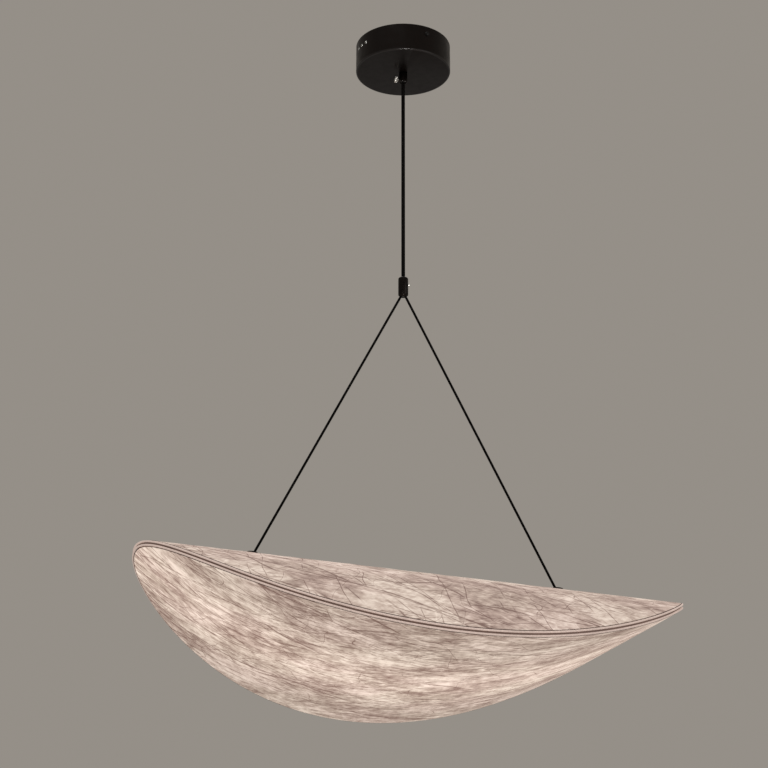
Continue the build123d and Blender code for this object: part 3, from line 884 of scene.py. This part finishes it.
class SaddleTrees:
    """Geometry node trees of what follows the shade's saddle."""

    FORM = sockets(Socket.VALUE, "Rim Radius", "Rim Rise", "Rim Fall", "Ridge Ease", "Lift", "Underside")
    # Octaves and roughness of the noise that creases paper, and the noise's middle value.
    CREASES = (2.0, 0.5)
    MIDDLE = 0.5
    STITCH_SHAPE = {"Segments": 6, "Rings": 5, "Radius": 1.0}
    STITCH_SPREAD = (0.82, 1.06)
    STITCH_LINE_POINTS = 256

    def __init__(self) -> None:
        """Builds the trees."""
        self.height = self._height()
        self.sheet = self._sheet()
        self.piping = self._piping()
        self.stitches = self._stitches()

    def _start(self, name: str, values: Sequence[str], others: Sockets) -> Tuple[Wiring, NodeOutputs]:
        """Starts a tree that is given the saddle's form, values and other sizes, and a material."""
        inputs = self.FORM | sockets(Socket.VALUE, *values) | others | {"Material": Socket.MATERIAL}
        return Wiring.group(name, Tree.GEOMETRY, inputs, {"Geometry": Socket.GEOMETRY})

    def _height(self) -> NodeTree:
        """Builds the group that gives the saddle's height at a place in plan.

        Returns:
            The group.
        """
        inputs, outputs = sockets(Socket.VALUE, "X", "Y") | self.FORM, sockets(Socket.VALUE, "Height")
        wires, given = Wiring.group("saddle_height", Tree.GEOMETRY, inputs, outputs)
        squares = [wires.math("MULTIPLY", given[key], given[key]) for key in ("Y", "X", "Rim Radius")]
        over, along, rim = squares
        square = wires.ramp(given["Underside"], 0.0, 1.0, over, wires.math("SUBTRACT", rim, along))
        ease = given["Ridge Ease"]
        reach = wires.math("SQRT", wires.math("MULTIPLY_ADD", ease, ease, square))
        fall = wires.math("MULTIPLY", wires.math("SUBTRACT", reach, ease), given["Rim Fall"])
        top = wires.math("ADD", given["Rim Rise"], given["Lift"])
        return wires.close({"Height": wires.math("SUBTRACT", top, fall)})

    def _lay(self, wires: Wiring, given: NodeOutputs, flat: NodeSocket, up: SocketValue = 0.0) -> NodeSocket:
        """Lays flat geometry on the saddle, each point above its place in plan.

        Args:
            wires: The tree.
            given: What the tree is given.
            flat: The geometry.
            up: A further lift.

        Returns:
            The geometry on the saddle.
        """
        plan = wires.add("ShaderNodeSeparateXYZ", {0: wires.add("GeometryNodeInputPosition")[0]})
        place = {"X": plan["X"], "Y": plan["Y"]}
        inputs = place | {label: given[label] for label in self.FORM}
        height = wires.add("GeometryNodeGroup", inputs, node_tree=self.height)[0]
        place["Z"] = wires.math("ADD", height, up)
        place = wires.add("ShaderNodeCombineXYZ", place)[0]
        return wires.add("GeometryNodeSetPosition", {"Geometry": flat, "Position": place})[0]

    def _sheet(self) -> NodeTree:
        """Builds the tree of a round sheet bent to the saddle, with slack creases.

        Returns:
            The tree.
        """
        values = ("Sheet Radius", "Crease Depth", "Crease Scale", "Hem Calm", "Seed")
        others = sockets(Socket.COUNT, "Rings", "Spokes") | {"Grain": Socket.VECTOR}
        wires, given = self._start("bent_sheet", values, others)
        disc = {"Vertices": given["Spokes"], "Side Segments": given["Rings"], "Depth": 0.0}
        disc |= {"Radius Top": 0.0, "Radius Bottom": given["Sheet Radius"]}
        disc = wires.add("GeometryNodeMeshCone", disc, fill_type="NONE")[0]
        here = wires.add("GeometryNodeInputPosition")[0]
        grained = wires.vector("MULTIPLY", here, given["Grain"])[0]
        creases = wires.noise(grained, given["Crease Scale"], *self.CREASES, seed=given["Seed"])[0]
        from_hem = wires.math("SUBTRACT", given["Sheet Radius"], wires.vector("LENGTH", here)["Value"])
        calm = wires.ramp(wires.math("DIVIDE", from_hem, given["Hem Calm"]), 0.0, 1.0)
        slack = wires.math("SUBTRACT", creases, self.MIDDLE)
        slack = wires.math("MULTIPLY", slack, given["Crease Depth"])
        bent = self._lay(wires, given, disc, wires.math("MULTIPLY", slack, calm))
        turned = wires.add("GeometryNodeFlipFaces", {"Mesh": bent, "Selection": given["Underside"]})[0]
        return wires.end(turned, given["Material"])

    def _piping(self) -> NodeTree:
        """Builds the tree of a piped hem: a tube round the rim that swells and narrows a little.

        Returns:
            The tree.
        """
        values = ("Line Radius", "Tube Radius", "Gather", "Gather Scale", "Seed")
        wires, given = self._start("rim_piping", values, sockets(Socket.COUNT, "Points", "Sides"))
        line = self._lay(wires, given, wires.circle(given["Points"], given["Line Radius"]))
        here = wires.add("GeometryNodeInputPosition")[0]
        swell = wires.noise(here, given["Gather Scale"], *self.CREASES, seed=given["Seed"])[0]
        swell = wires.math("SUBTRACT", swell, self.MIDDLE)
        width = wires.math("MULTIPLY_ADD", swell, given["Gather"], 1.0)
        line = wires.add("GeometryNodeSetCurveRadius", {"Curve": line, "Radius": width})[0]
        return wires.end(wires.tube(line, given["Sides"], given["Tube Radius"]), given["Material"])

    def _stitches(self) -> NodeTree:
        """Builds the tree of a row of thread stitches along a hem.

        Returns:
            The tree.
        """
        values = ("Line Radius", "Stitch Length", "Thread Radius")
        wires, given = self._start("hem_stitches", values, sockets(Socket.COUNT, "Count", "Seed"))
        line = self._lay(wires, given, wires.circle(self.STITCH_LINE_POINTS, given["Line Radius"]))
        dots = wires.add("GeometryNodeCurveToPoints", {"Curve": line, "Count": given["Count"]}, mode="COUNT")
        along = wires.add("FunctionNodeAlignRotationToVector", {"Vector": dots["Tangent"]}, axis="Z")[0]
        least, most = self.STITCH_SPREAD
        spread = {2: least, 3: most, "Seed": given["Seed"]}
        uneven = wires.add("FunctionNodeRandomValue", spread, data_type="FLOAT")[1]
        half = wires.math("MULTIPLY", wires.math("MULTIPLY", given["Stitch Length"], 0.5), uneven)
        size = {"X": given["Thread Radius"], "Y": given["Thread Radius"], "Z": half}
        row = {"Points": dots["Points"], "Rotation": along}
        row["Instance"] = wires.add("GeometryNodeMeshUVSphere", self.STITCH_SHAPE)[0]
        row["Scale"] = wires.add("ShaderNodeCombineXYZ", size)[0]
        return wires.end(wires.add("GeometryNodeInstanceOnPoints", row)[0], given["Material"])


class FinishRack:
    """The finishes of this light, one for each material slot of the record and one for thread."""

    FINISHES = {
        "black_paint": EdgedPaint("satin_black_paint", (0.0026, 0.0018, 0.0015), 0.34, shine=0.14),
        "black_screw": SatinPaint("blackened_steel", (0.006, 0.0054, 0.005), 0.5, shine=0.2),
        "gland_metal": SatinPaint("gland_black_paint", (0.002, 0.0015, 0.0012), 0.42, shine=0.16),
        "zinc_steel": Drawn("zinc_plated_steel", (0.52, 0.52, 0.5), 0.38),
        "nickel": Drawn("satin_nickel", (0.62, 0.6, 0.565), 0.5, stretch=(0.1, 1.0, 1.0)),
        "brass": Drawn("turned_brass", (0.72, 0.56, 0.28), 0.3, stretch=(1.0, 1.0, 0.1)),
        "aluminium": Drawn("anodised_extrusion", (0.74, 0.75, 0.76), 0.42, stretch=(0.03, 1.0, 1.0)),
        "nylon": Moulded("smoke_nylon", (0.045, 0.042, 0.039), 0.5),
        "driver_plastic": Moulded("white_driver_plastic", (0.8, 0.79, 0.76), 0.5),
        "circuit_board": Moulded("green_laminate", (0.05, 0.2, 0.08), 0.35),
        "led_board": Moulded("white_laminate", (0.8, 0.8, 0.78), 0.35),
        "led_phosphor": Moulded("phosphor_resin", (0.9, 0.72, 0.35), 0.3, glow=0.6),
        # Painted glow: the diffuser's emission stands in for the LEDs' light shining through it.
        "opal_plastic": Moulded("opal_diffuser", (0.85, 0.8, 0.72), 0.4, glow=0.35),
        "bar_end_plastic": Moulded("grey_end_plastic", (0.5, 0.5, 0.48), 0.5),
        "lead_insulation": Moulded("lead_insulation", (0.7, 0.68, 0.64), 0.45),
        "hoop_fibre": Moulded("brown_glass_fibre", (0.2, 0.128, 0.104), 0.55, grain=700.0),
        "cord_sheath": DrawnSheath("black_cord_sheath", (0.002, 0.0015, 0.0012), 0.75),
        # Painted light and shade: the top paper glows less and the bottom paper more, because the studio
        # lamps light the top more. The top's painted bar glow is also halved.
        "paper_top": FibrePaper(
            "paper_over_ridge", (0.576, 0.438, 0.371), 0.85, turn=-30.0, glow=0.465, painted_bar_glow=0.25
        ),
        "paper_bottom": FibrePaper(
            "paper_along_ridge", (0.562, 0.438, 0.37), 0.85, shift=(0.23, 0.41, 0.0), glow=0.67
        ),
        "paper_bead": PipedPaper("paper_piping", (0.68, 0.53, 0.46), 0.85),
    }
    THREAD = Moulded("hem_thread", (0.052, 0.027, 0.02), 0.8, grain=2500.0)

    def __init__(self, effects: Effects) -> None:
        """Makes the materials from the shared node groups."""
        self.by_slot = {slot: Coat(finish, effects).material for slot, finish in self.FINISHES.items()}
        self.thread = Coat(self.THREAD, effects).material


@dataclass
class Cord:
    """A taut cord: the two ends of its route, and what carries it."""

    node: str
    route: Tuple[Vector, Vector]
    radius: float
    body: Body
    sides: int = 20
    exit_gap: float = 6.0
    order: int = 3
    resolution: int = 8
    sharp_angle: float = 50.0
    slot: str = "cord_sheath"

    def line(self) -> List[Vector]:
        """Reads the smooth line of the cord from a spline through its control points.

        Returns:
            Points along the line.
        """
        curve = bpy.data.curves.new(self.node + "_line", "CURVE")
        curve.dimensions = "3D"
        curve.resolution_u = self.resolution
        spline = curve.splines.new("NURBS")
        start, end = self.route
        run = (end - start).normalized() * self.exit_gap * 2 * self.radius
        controls = (start, start + run, end - run, end)
        spline.points.add(len(controls) - 1)
        for point, place in zip(spline.points, controls):
            point.co = (*place, 1.0)
        spline.order_u = self.order
        spline.use_endpoint_u = True
        carrier = show(curve.name, curve)
        points = [vertex.co.copy() for vertex in settled(carrier).vertices]
        bpy.data.objects.remove(carrier)
        return points

    def tube(self, points: Sequence[Vector]) -> Mesh:
        """Makes a closed tube along a line, with a UV map of the way along it and round it.

        Args:
            points: The line.

        Returns:
            The tube.
        """
        along = (points[-1] - points[0]).normalized()
        across = along.orthogonal().normalized()
        beside = along.cross(across)
        turns = [2 * pi * side / self.sides for side in range(self.sides)]
        offsets = [(across * cos(turn) + beside * sin(turn)) * self.radius for turn in turns]
        reach = [(point - points[0]).length for point in points]
        width = 2 * pi * self.radius / self.sides
        shape = bmesh.new()
        layer = shape.loops.layers.uv.new(CORD_UV)
        rings = [[shape.verts.new(point + offset) for offset in offsets] for point in points]
        for row in range(len(points) - 1):
            for side in range(self.sides):
                spots = ((row, side), (row, side + 1), (row + 1, side + 1), (row + 1, side))
                face = shape.faces.new([rings[place][turn % self.sides] for place, turn in spots])
                for loop, (place, turn) in zip(face.loops, spots):
                    loop[layer].uv = (reach[place], width * turn)
        shape.faces.new(list(reversed(rings[0])))
        shape.faces.new(rings[-1])
        return to_mesh(shape, self.node + "_tube")

    def build(self, rack: FinishRack) -> Object:
        """Makes the cord as a closed tube along its line.

        Args:
            rack: The finishes.

        Returns:
            The cord.
        """
        points = self.line()
        mesh = self.tube(points)
        smooth(mesh, self.sharp_angle)
        mesh.materials.append(rack.by_slot[self.slot])
        piece = show(self.node + "_sheath", mesh)
        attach(piece, self.body.value)
        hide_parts(self.node)
        return piece


@dataclass
class CordRun:
    """The main cord, and the two branch cords that the splitter spreads to the shade."""

    rack: FinishRack
    form: ShadeForm = ShadeForm()
    main_radius: float = 0.0025
    main_top: float = -0.0503
    main_end: float = -0.3567
    branch_radius: float = 0.0016
    branch_mouth: float = -0.372
    branch_exit: float = 0.0034
    branch_sunk: float = 0.0022
    branch_short: float = 0.0015
    travel: float = 0.22

    def build(self) -> None:
        """Makes the three cords."""
        top, end = Vector((0.0, 0.0, self.main_top)), Vector((0.0, 0.0, self.main_end))
        main = Cord("main_cord", (top, end), self.main_radius, Body.DROP).build(self.rack)
        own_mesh(main)
        for side, sign in (("left", -1), ("right", 1)):
            mouth = Vector((sign * self.branch_exit, 0.0, self.branch_mouth))
            hang = self.form.hang_point(sign)
            along = (hang - mouth).normalized()
            route = (mouth - along * self.branch_sunk, hang - along * self.branch_short)
            Cord(f"branch_cord_{side}", route, self.branch_radius, Body.YOKE).build(self.rack)
            LOG.info("%s branch cord, %.3f m", side, (route[1] - route[0]).length)


@dataclass
class PaperShade:
    """The shade's two sheets, their piped hems and the thread that closes them."""

    rack: FinishRack
    trees: SaddleTrees
    form: ShadeForm = ShadeForm()
    rings: int = 84
    spokes: int = 288
    crease_depth: float = 0.0016
    crease_scale: float = 26.0
    crease_stretch: float = 0.35
    hem_calm: float = 0.05
    sharp_angle: float = 40.0
    tube_radius: float = 0.0011
    tube_spacing: float = 0.0043
    points: int = 480
    sides: int = 12
    gather: float = 0.1
    gather_scale: float = 90.0
    stitch_pitch: float = 0.0044
    stitch_length: float = 0.0078
    thread_radius: float = 0.00044
    stitch_outset: float = 0.00045
    stitch_sunk: float = 0.0003
    hole_radius: float = 0.005
    hole_sides: int = 40
    punch_depth: float = 0.04

    def build(self) -> None:
        """Makes the sheets, the hems and the stitches, each with its own seed."""
        self._sheet(Bend.OVER_RIDGE, "top_sheet", "paper_top", 4.0)
        self._sheet(Bend.ALONG_RIDGE, "bottom_sheet", "paper_bottom", 11.0)
        self._piping("upper_bead", self.tube_spacing / 2, 3.0)
        self._piping("lower_bead", -self.tube_spacing / 2, 8.0)
        self._stitches(Bend.OVER_RIDGE, "top_hem_stitches", 1, 5)
        self._stitches(Bend.ALONG_RIDGE, "bottom_hem_stitches", -1, 6)

    def _grow(self, name: str, tree: NodeTree, bend: Bend, **sizes: SocketValue) -> Object:
        """Makes a piece that follows the saddle.

        Args:
            name: Its name.
            tree: Its tree.
            bend: The sheet that it follows.
            **sizes: Its own sizes, beside those of the form and the shade.

        Returns:
            The piece, in place.
        """
        saddle = vars(self.form) | {"rim_fall": self.form.rim_fall, "underside": bend.value}
        piece = grow(name, tree, saddle | vars(self) | sizes)
        piece.data.transform(self.form.matrix)
        return piece

    def _sheet(self, bend: Bend, node: str, slot: str, seed: float) -> None:
        """Makes one sheet.

        Args:
            bend: Which way it is bent.
            node: The solid that it stands for.
            slot: Its material slot.
            seed: The seed of its creases.
        """
        over = bend is Bend.OVER_RIDGE
        sizes = {"lift": self.form.hem(bend), "seed": seed, "material": self.rack.by_slot[slot]}
        sizes["grain"] = (1.0, self.crease_stretch, 1.0) if over else (self.crease_stretch, 1.0, 1.0)
        piece = self._grow(node + "_paper", self.trees.sheet, bend, **sizes)
        wall = piece.modifiers.new("thickness", "SOLIDIFY")
        wall.thickness = self.form.sheet_thickness
        wall.offset = -1.0
        if over:
            self._punch(piece)
        settle(piece)
        smooth(piece.data, self.sharp_angle)
        width, length, area = self.form.flat_cut(bend)
        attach(piece, Body.SHADE.value)
        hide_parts(node)
        LOG.info("%s, cut %.3f by %.3f m, %.4f m2", node, width, length, area)

    def _punch(self, piece: Object) -> None:
        """Cuts the two gland holes into the sheet.

        Args:
            piece: The sheet, with its thickness still a modifier.
        """
        form, radius = self.form, self.hole_radius
        sizes = {"segments": self.hole_sides, "radius1": radius, "radius2": radius, "depth": self.punch_depth}
        shape = bmesh.new()
        for sign in (-1, 1):
            base = form.matrix @ Matrix.Translation((sign * form.hang_half, 0.0, form.rim_rise))
            bmesh.ops.create_cone(shape, cap_ends=True, matrix=base, **sizes)
        punch = show("gland_punch", to_mesh(shape, "gland_punch"))
        piece.modifiers.new("gland_holes", "BOOLEAN").object = punch
        settle(piece)
        bpy.data.objects.remove(punch)

    def _piping(self, node: str, lift: float, seed: float) -> None:
        """Makes one piped hem.

        Args:
            node: The solid that it stands for.
            lift: Its line's height above the rim's.
            seed: The seed of its unevenness.
        """
        slot = "paper_bead"
        sizes = {"line_radius": self.form.rim_radius, "lift": lift, "seed": seed}
        sizes["material"] = self.rack.by_slot[slot]
        piece = self._grow(node + "_piping", self.trees.piping, Bend.OVER_RIDGE, **sizes)
        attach(piece, Body.SHADE.value)
        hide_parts(node)
        LOG.info("%s piping", node)

    def _stitches(self, bend: Bend, name: str, way: int, seed: int) -> None:
        """Makes the row of thread stitches beside one piped hem.

        Args:
            bend: Which sheet it closes.
            name: The row's name.
            way: 1 for a row above the rim, and -1 for one below.
            seed: The seed of its stitches' lengths.
        """
        radius = self.form.sheet_radius + self.stitch_outset
        sizes = {"line_radius": radius, "count": round(2 * pi * radius / self.stitch_pitch), "seed": seed}
        sizes["lift"] = way * (self.form.hem_rise - self.stitch_sunk)
        sizes["material"] = self.rack.thread
        piece = self._grow(name, self.trees.stitches, bend, **sizes)
        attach(piece, Body.SHADE.value)
        LOG.info("%s, %d faces", name, len(piece.data.polygons))


@dataclass
class Hardware:
    """The rigid parts: visible ones as smooth copies of their solids, the rest as they are."""

    rack: FinishRack
    weld: float = 1e-6
    smoothed: Tuple[str, ...] = (
        "canopy_cup", "cup_screw_front", "cup_screw_back", "grip_body", "grip_screw", "grip_bush",
        "splitter_body", "splitter_screw",
        "gland_cap_left", "gland_cap_right", "cord_ball_left", "cord_ball_right",
    )

    def build(self) -> None:
        """Dresses every solid that no other piece stands for."""
        slots = {part["node"]: part["material_slot"] for part in frame["record"]["subparts"]}
        for node, solid in frame["nodes"].items():
            slot = slots[node]
            if node in self.smoothed:
                self._smooth_copy(node, slot)
            else:
                solid.data.materials.clear()
                solid.data.materials.append(self.rack.by_slot[slot])
            LOG.info("%s in %s", node, slot)

    def _smooth_copy(self, node: str, slot: str) -> None:
        """Replaces a solid by a merged and smooth-shaded copy.

        Args:
            node: The solid.
            slot: Its material slot.
        """
        solid = frame["nodes"][node]
        shape = bmesh.new()
        shape.from_mesh(solid.data)
        bmesh.ops.remove_doubles(shape, verts=shape.verts, dist=self.weld)
        mesh = to_mesh(shape, node + "_form")
        smooth(mesh)
        mesh.materials.append(self.rack.by_slot[slot])
        piece = show(node + "_form", mesh)
        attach(piece, solid["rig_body"])
        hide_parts(node)


@dataclass
class CupVents:
    """Pale eyelets in the vents of the ceiling cup's side, in two rows opposite each other."""

    rack: FinishRack
    cup_radius: float = 0.065
    depth: float = -0.0142
    row_angle: float = radians(198.0)
    pitch: float = 0.0102
    in_row: int = 3
    rows: int = 2
    ring_radius: float = 0.00155
    ring_points: int = 12
    wire_radius: float = 0.0005
    wire_sides: int = 6

    def build(self) -> None:
        """Makes the eyelets."""
        slot = "zinc_steel"
        sizes = {"pitch_angle": self.pitch / self.cup_radius, "material": self.rack.by_slot[slot]}
        piece = grow("vent_eyelets", self._tree(), vars(self) | sizes)
        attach(piece, Body.CEILING.value)
        LOG.info("vent eyelets, %d faces", len(piece.data.polygons))

    def _tree(self) -> NodeTree:
        """Builds the tree of the rows of eyelets.

        Returns:
            The tree.
        """
        labels = ("Cup Radius", "Depth", "Row Angle", "Pitch Angle", "Ring Radius", "Wire Radius")
        inputs = sockets(Socket.VALUE, *labels) | {"In Row": Socket.COUNT, "Material": Socket.MATERIAL}
        outputs = {"Geometry": Socket.GEOMETRY}
        wires, given = Wiring.group("vent_eyelets", Tree.GEOMETRY, inputs, outputs)
        number, in_row = wires.add("GeometryNodeInputIndex")[0], given["In Row"]
        step = wires.math("SUBTRACT", wires.math("MODULO", number, in_row), 1.0)
        row = wires.math("FLOOR", wires.math("DIVIDE", wires.math("ADD", number, 0.5), in_row))
        angle = wires.math("MULTIPLY_ADD", step, given["Pitch Angle"], given["Row Angle"])
        angle = wires.math("MULTIPLY_ADD", row, 2 * pi / self.rows, angle)
        outward = {"X": wires.math("COSINE", angle), "Y": wires.math("SINE", angle)}
        outward = wires.add("ShaderNodeCombineXYZ", outward)[0]
        reach = {0: outward, "Scale": given["Cup Radius"]}
        reach = wires.add("ShaderNodeVectorMath", reach, operation="SCALE")[0]
        level = wires.add("ShaderNodeCombineXYZ", {"Z": given["Depth"]})[0]
        dots = {"Count": wires.math("MULTIPLY", in_row, float(self.rows))}
        dots["Position"] = wires.vector("ADD", reach, level)[0]
        ring = wires.circle(self.ring_points, given["Ring Radius"])
        rings = {"Points": wires.add("GeometryNodePoints", dots)[0]}
        rings["Instance"] = wires.tube(ring, self.wire_sides, given["Wire Radius"])
        turned = wires.add("FunctionNodeAlignRotationToVector", {"Vector": outward}, axis="Z")
        rings["Rotation"] = turned[0]
        return wires.end(wires.add("GeometryNodeInstanceOnPoints", rings)[0], given["Material"])


@dataclass(frozen=True)
class PhotoCamera:
    """The camera that was fitted to the photograph, looking up at the light."""

    azimuth: float = 0.204
    distance: float = 2.0769
    height: float = -1.2101
    yaw: float = -0.012
    pitch: float = 0.3323
    roll: float = -0.0034
    lens: float = 79.59
    sensor: float = 36.0

    def build(self) -> None:
        """Makes the camera and gives it to the scene."""
        data = bpy.data.cameras.new("photo_camera")
        data.lens = self.lens
        data.sensor_width = self.sensor
        data.sensor_fit = "HORIZONTAL"
        camera = show("photo_camera", data)
        place = (-self.distance * sin(self.azimuth), -self.distance * cos(self.azimuth), self.height)
        turn = Matrix.Rotation(-self.azimuth - self.yaw, 4, "Z")
        turn @= Matrix.Rotation(pi / 2 + self.pitch, 4, "X") @ Matrix.Rotation(-self.roll, 4, "Z")
        camera.matrix_world = Matrix.Translation(place) @ turn
        bpy.context.scene.camera = camera


@dataclass(frozen=True)
class Lamp:
    """A soft square lamp of the studio."""

    name: str
    place: Triple
    aim: Triple
    side: float
    power: float
    spread: float = 180.0

    def build(self) -> None:
        """Makes the lamp and points it."""
        data = bpy.data.lights.new(self.name, "AREA")
        data.size = self.side
        data.energy = self.power
        data.spread = radians(self.spread)
        lamp = show(self.name, data)
        lamp.location = self.place
        lamp.rotation_euler = (Vector(self.aim) - Vector(self.place)).to_track_quat("-Z", "Y").to_euler()


@dataclass
class Studio:
    """A plain studio: a pale floor well below the light, an even pale world and soft lamps."""

    floor_depth: float = -1.75
    floor_half: float = 9.0
    floor_colour: Triple = (0.5, 0.48, 0.455)
    floor_roughness: float = 0.9
    backdrop: Triple = (0.3, 0.275, 0.245)
    world_light: Triple = (0.55, 0.55, 0.55)
    lamps: Tuple[Lamp, ...] = (
        Lamp("key_lamp", (-0.9, -1.1, 2.9), (0.0, 0.0, -0.6), 1.8, 45.0),
        Lamp("fill_lamp", (2.4, -2.4, -0.9), (0.0, 0.0, -0.7), 2.2, 20.0),
        Lamp("back_lamp", (0.6, 1.6, 2.6), (0.0, 0.0, -0.6), 1.8, 25.0),
        Lamp("edge_lamp", (-0.1, -1.5, -1.55), (0.0, 0.0, 0.0), 0.8, 1.4, spread=16.0),
    )

    def build(self) -> None:
        """Makes the floor, the world and the lamps."""
        bpy.context.scene.view_settings.view_transform = "Standard"
        self._floor()
        self._world()
        for lamp in self.lamps:
            lamp.build()

    def _floor(self) -> None:
        """Makes the floor."""
        half, depth = self.floor_half, self.floor_depth
        corners = [(-half, -half, depth), (half, -half, depth), (half, half, depth), (-half, half, depth)]
        mesh = bpy.data.meshes.new("studio_floor")
        mesh.from_pydata(corners, [], [(0, 1, 2, 3)])
        material = bpy.data.materials.new("studio_floor")
        material.use_nodes = True
        shader = material.node_tree.nodes["Principled BSDF"]
        shader.inputs["Base Color"].default_value = scaled(self.floor_colour)
        shader.inputs["Roughness"].default_value = self.floor_roughness
        mesh.materials.append(material)
        show("studio_floor", mesh)

    def _world(self) -> None:
        """Makes the world: one even light, and a backdrop that only cameras and reflections see."""
        world = bpy.data.worlds.new("studio_world")
        bpy.context.scene.world = world
        world.use_nodes = True
        wires = Wiring(world.node_tree)
        path = wires.add("ShaderNodeLightPath")
        seen = wires.math("MAXIMUM", path["Is Camera Ray"], path["Is Glossy Ray"])
        seen = wires.math("MAXIMUM", seen, path["Is Transmission Ray"])
        colour = wires.mix(seen, scaled(self.world_light), scaled(self.backdrop))
        wires.fill(world.node_tree.nodes["Background"], {"Color": colour})


def write_sizes() -> None:
    """Updates the view layer."""
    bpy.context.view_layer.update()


def main() -> None:
    """Builds the light, piece by piece, and its studio."""
    logging.basicConfig(level=logging.INFO, format="%(name)s: %(message)s")
    PhotoCamera().build()
    rack = FinishRack(Effects())
    CordRun(rack).build()
    PaperShade(rack, SaddleTrees()).build()
    Hardware(rack).build()
    CupVents(rack).build()
    Studio().build()
    write_sizes()


if __name__ == "__main__":
    main()
